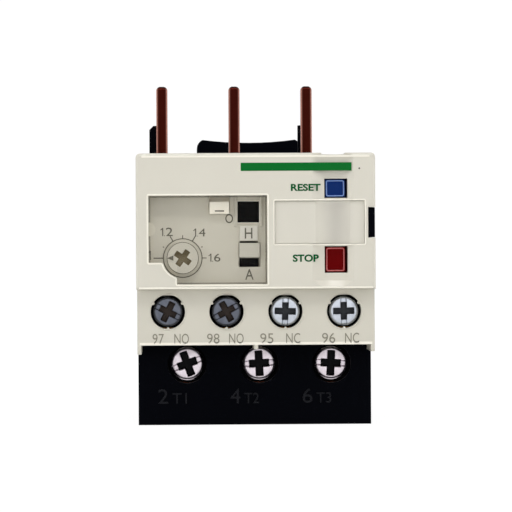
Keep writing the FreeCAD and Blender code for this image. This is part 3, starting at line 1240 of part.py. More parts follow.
base_housing()
aux_terminal_housing()
front_cover()
window_cover()
marker_plate()
mechanism_frame()
poles()
load_terminals()
aux_terminals()
button("reset_button", "reset_bottom", "reset_size")
return_spring("reset_spring", reset_place)
button("stop_button", "stop_bottom", "stop_size")
return_spring("stop_spring", stop_place)
setting_dial()
test_tab()
trip_flag()
mode_selector()
adjusting_lever()
compensating_bimetal()
trip_slider()
differential_slider()
differential_lever()
trip_lever()
snap_start = f"({trip_back} + snap_wire / 2 + seam_gap)"
coil("snap_spring", ("trip_pivot", "trip_pivot_height"), "y", snap_start,
     f"frame_front - snap_wire / 2 - seam_gap - {snap_start}",
     SNAP_TURNS, "snap_radius", "snap_wire", "snap_wire")
moving_contact("no_moving_contact", AUXILIARIES["98"], "open_height", "open_height + tip_radius")
open_fixed_contact()
moving_contact("nc_moving_contact", AUXILIARIES["95"], "closed_height", "closed_height + tip_radius")
closed_fixed_contact()

document.recompute()
for item in document.Objects:
    if "Invalid" in item.State or "Error" in item.State:
        raise RuntimeError(f"{item.Label} failed: {item.State}")
for node in nodes:
    if node.Shape.isNull() or not node.Shape.isValid():
        raise RuntimeError(f"{node.Label} has no valid shape")
    if len(node.Shape.Solids) != 1:
        raise RuntimeError(f"{node.Label} is not one solid")

os.makedirs("parts", exist_ok=True)
for node in nodes:
    node.Shape.exportStep(os.path.join("parts", f"{node.Label}.step"))
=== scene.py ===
import json
import math

import bmesh
import bpy
import mathutils
import numpy as np
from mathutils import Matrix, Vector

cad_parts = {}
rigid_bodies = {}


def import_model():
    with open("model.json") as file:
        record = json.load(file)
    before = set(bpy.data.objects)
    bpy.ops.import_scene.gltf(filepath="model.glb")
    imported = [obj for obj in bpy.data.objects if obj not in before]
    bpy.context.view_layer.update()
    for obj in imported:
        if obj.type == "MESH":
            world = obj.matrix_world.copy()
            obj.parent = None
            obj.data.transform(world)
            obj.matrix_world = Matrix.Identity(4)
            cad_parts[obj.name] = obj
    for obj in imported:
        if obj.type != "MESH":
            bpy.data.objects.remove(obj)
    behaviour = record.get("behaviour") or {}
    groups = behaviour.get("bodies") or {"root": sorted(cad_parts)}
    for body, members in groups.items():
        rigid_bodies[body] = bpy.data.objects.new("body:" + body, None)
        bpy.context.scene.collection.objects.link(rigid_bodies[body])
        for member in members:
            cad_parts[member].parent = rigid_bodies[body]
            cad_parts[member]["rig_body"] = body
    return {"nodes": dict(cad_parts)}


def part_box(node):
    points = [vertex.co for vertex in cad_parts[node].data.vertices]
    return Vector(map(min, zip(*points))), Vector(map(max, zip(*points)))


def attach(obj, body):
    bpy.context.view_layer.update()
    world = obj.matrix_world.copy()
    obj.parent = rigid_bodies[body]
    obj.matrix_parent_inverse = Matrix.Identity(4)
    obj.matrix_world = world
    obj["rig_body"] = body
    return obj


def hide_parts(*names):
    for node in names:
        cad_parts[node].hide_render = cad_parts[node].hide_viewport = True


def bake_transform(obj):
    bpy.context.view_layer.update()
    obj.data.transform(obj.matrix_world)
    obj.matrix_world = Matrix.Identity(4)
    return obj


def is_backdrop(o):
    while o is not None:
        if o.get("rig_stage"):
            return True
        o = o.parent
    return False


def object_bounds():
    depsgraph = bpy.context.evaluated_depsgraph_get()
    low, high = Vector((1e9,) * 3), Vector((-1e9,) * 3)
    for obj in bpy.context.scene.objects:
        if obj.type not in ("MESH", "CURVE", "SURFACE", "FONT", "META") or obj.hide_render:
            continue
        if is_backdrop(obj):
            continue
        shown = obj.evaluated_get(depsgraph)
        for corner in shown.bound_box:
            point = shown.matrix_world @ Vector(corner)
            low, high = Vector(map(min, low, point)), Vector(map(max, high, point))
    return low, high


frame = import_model()
cad_low, cad_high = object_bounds()
MM = 0.001


# ---- Base housing ----
# The black block that carries everything: glass-filled polyamide 66, moulded in one shot with the
# mounting hook, the two guide bars and the side catch. The spark-eroded mould leaves it satin.
def linear(code):
    """An sRGB hex colour as the linear RGBA that the shaders take."""
    parts = np.array([int(code[i : i + 2], 16) for i in (1, 3, 5)]) / 255
    parts = np.where(parts <= 0.04045, parts / 12.92, ((parts + 0.055) / 1.055) ** 2.4)
    return (*parts, 1.0)


def add_node(material, kind, inputs, feeds=(), **settings):
    """Adds one node: its settings first, then each input takes a value or a link, and then its
    output goes to the sockets that it feeds."""
    node = material.node_tree.nodes.new(kind)
    for name, value in settings.items():
        setattr(node, name, value)
    for socket, value in inputs.items():
        if isinstance(value, bpy.types.NodeSocket):
            material.node_tree.links.new(value, node.inputs[socket])
        else:
            node.inputs[socket].default_value = value
    for socket in feeds:
        material.node_tree.links.new(next(o for o in node.outputs if o.enabled), socket)
    return node


def new_finish(name, shade, drift, patch, texture, relief, roughness, edge, along=1.0, **sockets):
    """A surface in two close shades that change over patches of the given size, with a texture of
    the given size and relief, a roughness between two values, and edges rounded by a radius. Along
    is how much longer the texture is in height than across. Sockets go to the shader itself."""
    material = bpy.data.materials.new(name)
    material.use_nodes = True
    shader = material.node_tree.nodes["Principled BSDF"]
    for socket, value in sockets.items():
        shader.inputs[socket.replace("_", " ")].default_value = value
    place = add_node(material, "ShaderNodeTexCoord", {}).outputs["Object"]
    patches = add_node(
        material, "ShaderNodeTexNoise", {"Vector": place, "Scale": 1 / patch, "Detail": 2.0}
    ).outputs["Fac"]
    add_node(
        material,
        "ShaderNodeMix",
        {"Factor": patches, "A": linear(shade), "B": linear(drift)},
        [shader.inputs["Base Color"]],
        data_type="RGBA",
    )
    add_node(
        material,
        "ShaderNodeMapRange",
        {"Value": patches, "To Min": roughness[0], "To Max": roughness[1]},
        [shader.inputs["Roughness"]],
    )
    stretched = add_node(
        material, "ShaderNodeMapping", {"Vector": place, "Scale": (1.0, 1.0, 1 / along)}
    ).outputs["Vector"]
    specks = add_node(
        material, "ShaderNodeTexNoise", {"Vector": stretched, "Scale": 1 / texture, "Detail": 3.0}
    ).outputs["Fac"]
    rounded = add_node(material, "ShaderNodeBevel", {"Radius": edge}, samples=4).outputs["Normal"]
    add_node(
        material,
        "ShaderNodeBump",
        {"Height": specks, "Distance": relief, "Normal": rounded},
        [shader.inputs["Normal"]],
    )
    return material


def dress(material, *names):
    """Gives CAD nodes the material."""
    for name in names:
        mesh = frame["nodes"][name].data
        mesh.materials.clear()
        mesh.materials.append(material)


# How far films of ink and raised letters reach into the face they lie on, so that no gap shows.
INK_SUNK = 0.02 * MM


def lettering(name, words, left, right, bottom, top, depth, proud, bold, material, body):
    """Words fitted to a box on a face that looks to the front at that depth, standing proud of it.
    Bold is added all round the strokes, as a share of the letters' height, by a bevel, since an
    offset would fill the small holes."""
    curve = bpy.data.curves.new(name, "FONT")
    curve.body = words
    curve.extrude = 0.5
    curve.bevel_depth = bold
    curve.bevel_resolution = 0
    curve.resolution_u = 4
    drawn = bpy.data.objects.new(name, curve)
    bpy.context.scene.collection.objects.link(drawn)
    bpy.context.view_layer.update()
    graph = bpy.context.evaluated_depsgraph_get()
    mesh = bpy.data.meshes.new_from_object(drawn.evaluated_get(graph))
    bpy.data.objects.remove(drawn)
    points = np.empty(len(mesh.vertices) * 3)
    mesh.vertices.foreach_get("co", points)
    points = points.reshape(-1, 3)
    low, high = points.min(0), points.max(0)
    share = (points - low) / (high - low)
    across = left + (right - left) * share[:, 0]
    forward = depth + INK_SUNK - (proud + INK_SUNK) * share[:, 2]
    up = bottom + (top - bottom) * share[:, 1]
    mesh.vertices.foreach_set("co", np.column_stack([across, forward, up]).ravel())
    mesh.materials.clear()
    mesh.materials.append(material)
    letters = bpy.data.objects.new(name, mesh)
    bpy.context.scene.collection.objects.link(letters)
    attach(letters, body)


# Black polyamide: hardly any colour of its own, a faint blue cast, and a broad dull gloss, weak
# because glass fibres break it up. The specks are drawn 0.25 mm across, coarser than the fibres.
black_polyamide = new_finish(
    "black glass-filled polyamide", "#010206", "#04050b", 9 * MM, 0.25 * MM, 0.012 * MM,
    (0.42, 0.5), 0.3 * MM, Specular_IOR_Level=0.02,
)
dress(black_polyamide, "base_housing")

# Terminal numbers moulded on the block's face, which lies 15 mm behind the cover's, and raised
# 0.15 mm. Their tops are polished by handling, so they look a little greyer than the face.
polished_polyamide = new_finish(
    "handled black polyamide", "#15161b", "#1b1c22", 2 * MM, 0.2 * MM, 0.004 * MM,
    (0.3, 0.36), 0.05 * MM, Specular_IOR_Level=0.08,
)
block_face = cad_low.y + 15 * MM
DIGIT_HEIGHT, TAIL_HEIGHT, LETTER_FOOT = 2.8 * MM, 2.0 * MM, 4.1 * MM
for pole, digit, tail in ((1, "2", "T1"), (2, "4", "T2"), (3, "6", "T3")):
    low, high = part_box(f"load_screw_{pole}")
    middle = (low[0] + high[0]) / 2
    lettering(
        f"load_digit_{digit}", digit, middle - 5.6 * MM, middle - 3.7 * MM,
        LETTER_FOOT, LETTER_FOOT + DIGIT_HEIGHT, block_face, 0.15 * MM, 0.0, polished_polyamide,
        "housing",
    )
    lettering(
        f"load_tail_{tail}", tail, middle - 2.9 * MM, middle - 0.1 * MM,
        LETTER_FOOT, LETTER_FOOT + TAIL_HEIGHT, block_face, 0.15 * MM, 0.0, polished_polyamide,
        "housing",
    )


# ---- Line pins and load bars ----
# Three drawn copper conductors pressed into the housing's top, and the three bars behind the load
# screws. Drawing leaves fine lengthwise lines and air turns them brown; the pins' edges are painted
# bright as a highlight.
# A painted highlight colour for the pins' edges.
PIN_HIGHLIGHT = "#96695d"
PIN_WIDTH = 2.2 * MM
tarnished_copper = new_finish(
    "tarnished drawn copper", "#2a0a06", "#36100a", 2.5 * MM, 0.12 * MM, 0.006 * MM,
    (0.26, 0.34), 0.2 * MM, along=40.0, Metallic=1.0,
)
pin_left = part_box("line_pin_2")[0][0]
pin_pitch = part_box("line_pin_3")[0][0] - pin_left
pin_middle = pin_left + PIN_WIDTH / 2


def worn_edges(material, middle, pitch, start, end):
    """Mixes a painted highlight colour into the base colour: none of it nearer than start to the
    middle line of the nearest pin, measured across, and all of it beyond end."""
    shader = material.node_tree.nodes["Principled BSDF"]
    under = shader.inputs["Base Color"].links[0].from_socket
    place = add_node(material, "ShaderNodeTexCoord", {}).outputs["Object"]
    across = add_node(material, "ShaderNodeSeparateXYZ", {"Vector": place}).outputs["X"]
    from_middle = add_node(
        material, "ShaderNodeMath", {0: across, 1: middle}, operation="SUBTRACT"
    ).outputs[0]
    nearest = add_node(
        material, "ShaderNodeMath", {0: from_middle, 1: pitch / 2}, operation="PINGPONG"
    ).outputs[0]
    highlight = add_node(
        material, "ShaderNodeMapRange", {"Value": nearest, "From Min": start, "From Max": end}
    ).outputs["Result"]
    add_node(
        material,
        "ShaderNodeMix",
        {"Factor": highlight, "A": under, "B": linear(PIN_HIGHLIGHT)},
        [shader.inputs["Base Color"]],
        data_type="RGBA",
    )


def softened(node, name, radius, material, segments=3):
    """A copy of a CAD node that stands for it: its points are merged, seams in flat faces are
    dissolved, and a bevel rounds its sharp edges."""
    source = frame["nodes"][node]
    mesh = source.data.copy()
    work = bmesh.new()
    work.from_mesh(mesh)
    bmesh.ops.remove_doubles(work, verts=work.verts, dist=0.002 * MM)
    bmesh.ops.dissolve_limit(
        work, angle_limit=math.radians(1), verts=work.verts, edges=work.edges
    )
    work.to_mesh(mesh)
    work.free()
    mesh.materials.clear()
    mesh.materials.append(material)
    piece = bpy.data.objects.new(name, mesh)
    bpy.context.scene.collection.objects.link(piece)
    bevel = piece.modifiers.new("rounding", "BEVEL")
    bevel.width = radius
    bevel.segments = segments
    bevel.limit_method = "ANGLE"
    bevel.angle_limit = math.radians(40)
    bevel.harden_normals = True
    mesh.shade_smooth()
    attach(piece, source["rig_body"])
    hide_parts(node)


worn_edges(tarnished_copper, pin_middle, pin_pitch, 0.7 * MM, 1.0 * MM)
for pole in (1, 2, 3):
    softened(f"line_pin_{pole}", f"copper_pin_{pole}", 0.26 * MM, tarnished_copper, 4)
bar_copper = new_finish(
    "rolled copper", "#8a4a33", "#9c5a40", 3 * MM, 0.15 * MM, 0.005 * MM,
    (0.3, 0.38), 0.15 * MM, along=20.0, Metallic=1.0,
)
dress(bar_copper, *[f"load_terminal_bar_{pole}" for pole in (1, 2, 3)])


# ---- Heaters, bimetal strips and sliders ----
# The tripping works inside the block: wound resistance ribbon on rolled bimetal strips, and white
# acetal sliders that the strips push as they bend.
resistance_ribbon = new_finish(
    "nickel-chromium ribbon", "#9a948e", "#837c76", 2 * MM, 0.12 * MM, 0.004 * MM,
    (0.32, 0.42), 0.1 * MM, Metallic=1.0,
)
dress(resistance_ribbon, *[f"heater_coil_{pole}" for pole in (1, 2, 3)])
rolled_bimetal = new_finish(
    "rolled bimetal", "#b0aa9f", "#a09a8f", 3 * MM, 0.12 * MM, 0.004 * MM,
    (0.28, 0.36), 0.1 * MM, along=20.0, Metallic=1.0,
)
dress(rolled_bimetal, "compensating_bimetal", *[f"bimetal_strip_{pole}" for pole in (1, 2, 3)])
white_acetal = new_finish(
    "white acetal", "#fbf8ef", "#f6f2e6", 4 * MM, 0.2 * MM, 0.005 * MM,
    (0.36, 0.44), 0.2 * MM, IOR=1.48,
)
dress(white_acetal, "trip_slider", "differential_slider", "differential_lever", "trip_lever")


# ---- Terminal screws and clamps ----
# Cold-headed cheese-head screws with a driver slot and a deeper cross recess in line with it, and a
# square clamp washer on each, painted black as the shade round the head. The load screws are nickel
# plated.
def new_piece(name, points, faces, materials, body):
    """A mesh at the origin from an array of points and an array of faces, riding on a body if one
    is given. Double points are merged, so that seams and poles are closed, and its faces are
    turned outwards."""
    mesh = bpy.data.meshes.new(name)
    mesh.from_pydata(points.reshape(-1, 3).tolist(), [], faces.tolist())
    work = bmesh.new()
    work.from_mesh(mesh)
    bmesh.ops.remove_doubles(work, verts=work.verts, dist=0.0005 * MM)
    bmesh.ops.recalc_face_normals(work, faces=work.faces)
    work.to_mesh(mesh)
    work.free()
    for material in materials:
        mesh.materials.append(material)
    mesh.shade_smooth()
    piece = bpy.data.objects.new(name, mesh)
    bpy.context.scene.collection.objects.link(piece)
    if body:
        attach(piece, body)
    return piece


def grid_faces(rows, columns):
    """Quads between neighbouring rows of a grid whose last column joins its first."""
    index = np.arange(rows * columns).reshape(rows, columns)
    beside = np.roll(index, -1, axis=1)
    return np.stack([index[:-1], beside[:-1], beside[1:], index[1:]], -1).reshape(-1, 4)


# The face of every screw: the slot's half width and depth, the fall of the dome towards the rim,
# the width of the recesses' soft walls, and how deep in them the painted shade begins.
SLOT_HALF, SLOT_DEPTH = 0.5 * MM, 0.5 * MM
DOME, WALL, SHADE_FROM = 0.14 * MM, 0.09 * MM, 0.72 * MM


def inside(distance, half):
    """One inside a half width, nought outside it, with a soft step of a wall's width between."""
    return 1 / (1 + np.exp(np.clip((np.abs(distance) - half) / WALL * 5, -40, 40)))


def terminal_screw(node, name, head_height, pitch, cross, angle, metal, recess):
    """A screw as a grid of radius and angle. On the face the depth is a low dome, plus a slot
    across the whole head and a cross of four arms, each with steep soft walls. Behind it the radius
    follows the head's rim, its underside and a thread, a triangle wave of depth and angle. The
    cross is its length along the slot, its length across it, its arms' width and its depth."""
    low, high = (np.array(corner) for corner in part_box(node))
    middle = (low + high) / 2
    head_radius = (high[0] - low[0]) / 2
    shank_radius = 0.62 * head_radius
    rim = 0.14 * head_radius
    turn = np.linspace(0, 2 * np.pi, 160, endpoint=False)

    radius = np.linspace(0, 1, 44)[:, None] * (head_radius - rim)
    along = radius * np.cos(turn - angle)
    beside = radius * np.sin(turn - angle)
    lengthwise, crosswise, width, depth = cross
    dome = DOME * (radius / head_radius) ** 2
    arms = np.maximum(
        inside(along, lengthwise / 2) * inside(beside, width / 2),
        inside(along, width / 2) * inside(beside, crosswise / 2),
    )
    slot_cut = SLOT_DEPTH * inside(beside, SLOT_HALF) * (1 - arms)
    face_depth = np.maximum(dome + slot_cut, depth * arms + dome * (1 - arms))

    rounding = np.linspace(0, np.pi / 2, 6)[1:, None]
    rim_radius = head_radius - rim + rim * np.sin(rounding) + 0 * turn
    rim_notch = SLOT_DEPTH * inside(rim_radius * np.sin(turn - angle), SLOT_HALF)
    rim_depth = DOME + rim * (1 - np.cos(rounding)) + rim_notch
    notch_foot = 0.75 * MM + rim

    shank_end = high[1] - low[1]
    chamfer = 0.4 * MM
    steps = np.arange(head_height + 0.1 * MM, shank_end - chamfer, pitch / 4)[:, None]
    wave = np.abs(((steps / pitch - turn / (2 * np.pi)) % 1) * 2 - 1)
    thread_radius = shank_radius - 0.5 * pitch * wave
    back_radius = np.array([[head_radius], [head_radius], [shank_radius]]) + 0 * turn
    back_depth = np.array([[notch_foot], [head_height], [head_height]]) + 0 * turn
    tip_radius = np.array([[shank_radius - chamfer], [0.0]]) + 0 * turn
    tip_depth = np.array([[shank_end], [shank_end]]) + 0 * turn

    radii = np.vstack([radius + 0 * turn, rim_radius, back_radius, thread_radius, tip_radius])
    depths = np.vstack([face_depth, rim_depth, back_depth, steps + 0 * turn, tip_depth])
    points = np.stack(
        [middle[0] + radii * np.cos(turn), low[1] + depths, middle[2] + radii * np.sin(turn)], -1
    )
    body = frame["nodes"][node]["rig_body"]
    screw = new_piece(name, points, grid_faces(*radii.shape), [metal, recess], body)
    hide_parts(node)
    # Faces this deep in the recess take the second material, a painted shade.
    centres = np.empty(len(screw.data.polygons) * 3)
    screw.data.polygons.foreach_get("center", centres)
    centres = centres.reshape(-1, 3)
    reach = np.hypot(centres[:, 0] - middle[0], centres[:, 2] - middle[2])
    deep = (centres[:, 1] > low[1] + SHADE_FROM) & (centres[:, 1] < low[1] + head_height)
    in_recess_shade = (deep & (reach < head_radius - rim)).astype(np.int32)
    screw.data.polygons.foreach_set("material_index", in_recess_shade)


# Bright nickel: a warm white metal with fine dimples from tumbling. The recess below the slot is
# painted black as shade.
nickel_plate = new_finish(
    "nickel-plated steel", "#f2e9f0", "#d9cfd6", 0.9 * MM, 0.3 * MM, 0.01 * MM,
    (0.3, 0.42), 0.1 * MM, Metallic=1.0,
)
black_recess_shade = new_finish(
    "steel recess, painted black shade", "#08080a", "#101014", 0.6 * MM, 0.2 * MM, 0.004 * MM,
    (0.5, 0.6), 0.05 * MM, Specular_IOR_Level=0.1,
)
for pole, degrees in ((1, 20), (2, 3), (3, -3)):
    terminal_screw(
        f"load_screw_{pole}", f"load_cheese_head_{pole}", 2.6 * MM, 0.7 * MM,
        (3.8 * MM, 4.8 * MM, 1.35 * MM, 1.5 * MM), math.radians(degrees), nickel_plate,
        black_recess_shade,
    )
# The clamps are painted black as the shade in the gap round each head.
clamp_shade_steel = new_finish(
    "clamp steel, painted black shade", "#08080b", "#0e0e12", 1.2 * MM, 0.2 * MM, 0.006 * MM,
    (0.5, 0.6), 0.12 * MM, Specular_IOR_Level=0.05,
)
dress(clamp_shade_steel, *[f"load_clamp_{pole}" for pole in (1, 2, 3)])


# ---- Auxiliary terminal housing ----
# The cream strip below the cover, with four screw wells. Each well has three ribs that keep its
# screw from falling out, and a slightly raised rim. Polycarbonate, moulded, matt.
cream_polycarbonate = new_finish(
    "cream polycarbonate", "#d1cdc0", "#cbc7ba", 14 * MM, 0.3 * MM, 0.008 * MM,
    (0.3, 0.38), 0.2 * MM, IOR=1.58,
)
dress(cream_polycarbonate, "aux_terminal_housing")
aux_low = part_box("aux_terminal_housing")[0]
aux_face = aux_low[1]

# Its feet reach this far down over the black block's top edge.
AUX_FEET = 1.7 * MM
block_top = aux_low[2] + AUX_FEET


def bead(name, path, half_width, height, depth, material, body, foot=0.1 * MM):
    """A low ridge: half an ellipse, closed by a foot sunk in the wall, carried along a closed line
    drawn on the face. The line's own direction, turned a quarter, gives the way across."""
    ahead = np.roll(path, -1, axis=0) - np.roll(path, 1, axis=0)
    ahead /= np.linalg.norm(ahead, axis=1, keepdims=True)
    across = np.column_stack([ahead[:, 1], -ahead[:, 0]])
    sweep = np.linspace(-1, 1, 9)
    offset = np.concatenate([[-1], sweep, [1], [-1]])[:, None, None] * half_width
    lift = np.concatenate([[-foot], height * np.sqrt(1 - sweep**2), [-foot], [-foot]])
    flat = path[None] + offset * across[None]
    points = np.stack(
        [flat[..., 0], depth - lift[:, None] + 0 * flat[..., 0], flat[..., 1]], -1
    )
    new_piece(name, points, grid_faces(*flat.shape[:2]), [material], body)


# The ribs and rim in one ring: its inner line is a circle with three smooth nubs. RING_PROFILE is
# the depth along the ring's section, from the foot of the inner wall over the rim and back.
ring_turn = np.linspace(0, 2 * np.pi, 144, endpoint=False)
WELL_RADIUS = 3.24 * MM
RIM_WIDTH = 0.3 * MM
RIB_REACH = 0.34 * MM
RING_PROFILE = np.array([1.1, -0.02, -0.12, 0.02, 1.1, 1.1])[:, None] * MM
aux_places = {}
for terminal in (97, 98, 95, 96):
    low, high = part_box(f"aux_screw_{terminal}")
    aux_places[terminal] = (low[0] + high[0]) / 2, (low[2] + high[2]) / 2
    x, z = aux_places[terminal]
    from_rib = (ring_turn - math.radians(30)) % (2 * np.pi / 3)
    from_rib = np.minimum(from_rib, 2 * np.pi / 3 - from_rib)
    rib = RIB_REACH / (1 + np.exp((from_rib - math.radians(4)) / math.radians(0.6)))
    inner = WELL_RADIUS - rib
    outer = np.full_like(inner, WELL_RADIUS + RIM_WIDTH)
    ring_radii = np.stack([inner, inner, (inner + outer) / 2, outer, outer, inner])
    points = np.stack(
        [x + ring_radii * np.cos(ring_turn), aux_face + RING_PROFILE + 0 * inner,
         z + ring_radii * np.sin(ring_turn)], -1,
    )
    new_piece(
        f"well_ring_{terminal}", points, grid_faces(*ring_radii.shape), [cream_polycarbonate],
        "housing",
    )

# Terminal numbers, pad printed under the wells in a thin warm grey. Each row gives where the number
# and the word start and end, from the screw's middle.
grey_ink = new_finish(
    "warm grey printing ink", "#8b8779", "#7f7b6d", 1 * MM, 0.1 * MM, 0.001 * MM,
    (0.46, 0.54), 0.02 * MM, Specular_IOR_Level=0.3,
)
for terminal, kind, starts in (
    (97, "NO", (-2.9, -0.75, 1.2, 3.95)), (98, "NO", (-3.7, -1.35, 0.45, 3.2)),
    (95, "NC", (-4.8, -2.3, 0.1, 2.75)), (96, "NC", (-4.2, -1.7, 0.15, 2.8)),
):
    x = aux_places[terminal][0]
    for words, left, right in ((str(terminal), *starts[:2]), (kind, *starts[2:])):
        lettering(
            f"terminal_{terminal}_{words}", words, x + left * MM, x + right * MM,
            block_top + 0.3 * MM, block_top + 2.2 * MM, aux_face, 0.03 * MM, 0.0, grey_ink,
            "housing",
        )


# ---- Auxiliary screws, clamps and contacts ----
# Smaller screws of the same pattern. Those of 97 and 98 carry a dark blue-grey passivation, those
# of 95 and 96 a clear one. The plates and blades behind them are contact bronze.
dark_zinc = new_finish(
    "zinc plate with dark passivation", "#6c707a", "#50545f", 1.1 * MM, 0.25 * MM, 0.01 * MM,
    (0.3, 0.42), 0.1 * MM, Metallic=1.0,
)
clear_zinc = new_finish(
    "zinc plate with clear passivation", "#cfd4dc", "#a7adb8", 0.9 * MM, 0.25 * MM, 0.01 * MM,
    (0.28, 0.4), 0.1 * MM, Metallic=1.0,
)
# The recesses below the aux screws' slots are painted brown or grey as shade.
brown_recess_shade = new_finish(
    "steel recess, painted brown shade", "#51463f", "#3c3533", 0.6 * MM, 0.2 * MM, 0.004 * MM,
    (0.45, 0.55), 0.05 * MM, Specular_IOR_Level=0.1,
)
grey_recess_shade = new_finish(
    "steel recess, painted grey shade", "#4d5054", "#33363b", 0.6 * MM, 0.2 * MM, 0.004 * MM,
    (0.45, 0.55), 0.05 * MM, Specular_IOR_Level=0.1,
)
for terminal, degrees, metal in (
    (97, -27, dark_zinc), (98, 28, dark_zinc), (95, 88, clear_zinc), (96, 91, clear_zinc),
):
    recess = brown_recess_shade if metal is dark_zinc else grey_recess_shade
    terminal_screw(
        f"aux_screw_{terminal}", f"aux_cheese_head_{terminal}", 2.2 * MM, 0.6 * MM,
        (3.3 * MM, 3.9 * MM, 1.1 * MM, 1.4 * MM), math.radians(degrees), metal, recess,
    )
# The aux clamps take the same painted black shade.
dress(clamp_shade_steel, *[f"aux_clamp_{terminal}" for terminal in aux_places])
contact_bronze = new_finish(
    "contact bronze", "#b98a52", "#a87a46", 2 * MM, 0.12 * MM, 0.004 * MM,
    (0.28, 0.36), 0.1 * MM, Metallic=1.0,
)
dress(
    contact_bronze, "no_fixed_contact", "nc_fixed_contact", "no_moving_contact",
    "nc_moving_contact", *[f"aux_plate_{terminal}" for terminal in aux_places],
)


# ---- Springs ----
# Hard-drawn steel wire, bright from the die. The return springs of the two keys shorten as the keys
# go in; here they are built as they stand at rest.
spring_wire = new_finish(
    "patented spring wire", "#8e9299", "#767a82", 1 * MM, 0.1 * MM, 0.003 * MM,
    (0.28, 0.36), 0.05 * MM, Metallic=1.0,
)
dress(spring_wire, "snap_spring")


def return_spring(node, turns, wire):
    """Round wire on a helix behind a key. With s from 0 to 1 along the wire, the centre line is
    (r cos 2 pi n s, y, r sin 2 pi n s), where y goes from the key to the housing as s s (3 - 2 s),
    so the end turns lie close. Round it, a point is that plus w (cos t outwards + sin t along).
    The wire's last tenth of a turn narrows to a point at each end."""
    low, high = (np.array(corner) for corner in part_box(node))
    middle = (low + high) / 2
    share = np.linspace(0, 1, 32 * turns + 1)[:, None]
    tube = np.linspace(0, 2 * np.pi, 10, endpoint=False)
    turn = 2 * np.pi * turns * share
    narrow = np.sqrt(np.clip(np.minimum(share, 1 - share) * turns * 10, 0, 1))
    radius = (high[0] - low[0]) / 2 - wire + wire * narrow * np.cos(tube)
    span = high[1] - low[1] - 2 * wire
    along = low[1] + wire + span * share**2 * (3 - 2 * share) + wire * narrow * np.sin(tube)
    points = np.stack(
        [middle[0] + radius * np.cos(turn), along, middle[2] + radius * np.sin(turn)], -1
    )
    spring = new_piece(
        f"{node}_wire", points, grid_faces(*radius.shape), [spring_wire], None
    )
    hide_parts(node)
    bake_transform(spring)


return_spring("reset_spring", 6, 0.25 * MM)
return_spring("stop_spring", 6, 0.25 * MM)


# ---- Front cover ----
# The cream front, moulded in the same polycarbonate and snapped over the block. Fine lips round
# its openings, and strips along its head and foot, are painted bright as highlights.
cover_low, cover_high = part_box("front_cover")
face = cover_low[1]


def rounded_path(corners, radius, steps=6):
    """A closed line through corner points, each corner replaced by a parabola that starts and ends
    a radius away from it: (1-t)^2 times its start, 2t(1-t) times the corner, t^2 times its end."""
    corners = np.array(corners)
    before = np.roll(corners, 1, axis=0) - corners
    after = np.roll(corners, -1, axis=0) - corners
    reach = np.minimum(np.linalg.norm(before, axis=1), np.linalg.norm(after, axis=1)) / 2
    reach = np.minimum(reach, radius)[:, None]
    start = corners + before / np.linalg.norm(before, axis=1, keepdims=True) * reach
    end = corners + after / np.linalg.norm(after, axis=1, keepdims=True) * reach
    t = np.linspace(0, 1, steps)[None, :, None]
    curve = (1 - t) ** 2 * start[:, None] + 2 * t * (1 - t) * corners[:, None] + t**2 * end[:, None]
    return curve.reshape(-1, 2)


def box_path(left, right, bottom, top, radius):
    """A rounded rectangle as a closed line."""
    return rounded_path([(left, bottom), (right, bottom), (right, top), (left, top)], radius)


cream_highlight = new_finish(
    "cream polycarbonate, painted highlight", "#f4f0e4", "#f0ebdd", 8 * MM, 0.3 * MM, 0.004 * MM,
    (0.3, 0.36), 0.05 * MM, IOR=1.58,
)
flap_low, flap_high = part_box("window_cover")
dial_low, dial_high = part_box("setting_dial")
dial_x, dial_z = (dial_low[0] + dial_high[0]) / 2, (dial_low[2] + dial_high[2]) / 2

# The window: the flap fills it but for its play at the sides, and its pegs reach past the ends.
FLAP_PLAY, PEG = 0.2 * MM, 0.6 * MM
window_left, window_right = flap_low[0] - FLAP_PLAY, flap_high[0] + FLAP_PLAY
window_bottom, window_top = flap_low[2] + PEG, flap_high[2] - PEG

# The window's lower left corner is solid, and the dial's round recess cuts into it. The arc runs
# from the corner's top to its right side.
DIAL_RECESS = 4.0 * MM
step_right, step_top = window_left + 5.3 * MM, window_bottom + 4.1 * MM
rise, run = step_top - dial_z, step_right - dial_x
arc_start = math.atan2(rise, -math.sqrt(DIAL_RECESS**2 - rise**2))
arc_end = math.atan2(-math.sqrt(DIAL_RECESS**2 - run**2), run)
arc = np.linspace(arc_start % (2 * np.pi), arc_end % (2 * np.pi), 12)
window_corners = [
    (window_left, step_top), (window_left, window_top), (window_right, window_top),
    (window_right, window_bottom), (step_right, window_bottom),
    *zip(dial_x + DIAL_RECESS * np.cos(arc[::-1]), dial_z + DIAL_RECESS * np.sin(arc[::-1])),
]
window_path = rounded_path(window_corners, 0.25 * MM)


def inside_box(material, low, high):
    """A socket that is 1 where the object's own coordinates lie in a box and 0 outside it."""
    place = add_node(material, "ShaderNodeTexCoord", {}).outputs["Object"]
    split = add_node(material, "ShaderNodeSeparateXYZ", {"Vector": place}).outputs
    so_far = 1.0
    for axis, start, end in zip("XYZ", low, high):
        middle, half = (start + end) / 2, (end - start) / 2
        within = add_node(
            material, "ShaderNodeMath", {0: split[axis], 1: middle, 2: half}, operation="COMPARE"
        ).outputs[0]
        so_far = add_node(
            material, "ShaderNodeMath", {0: within, 1: so_far}, operation="MULTIPLY"
        ).outputs[0]
    return so_far


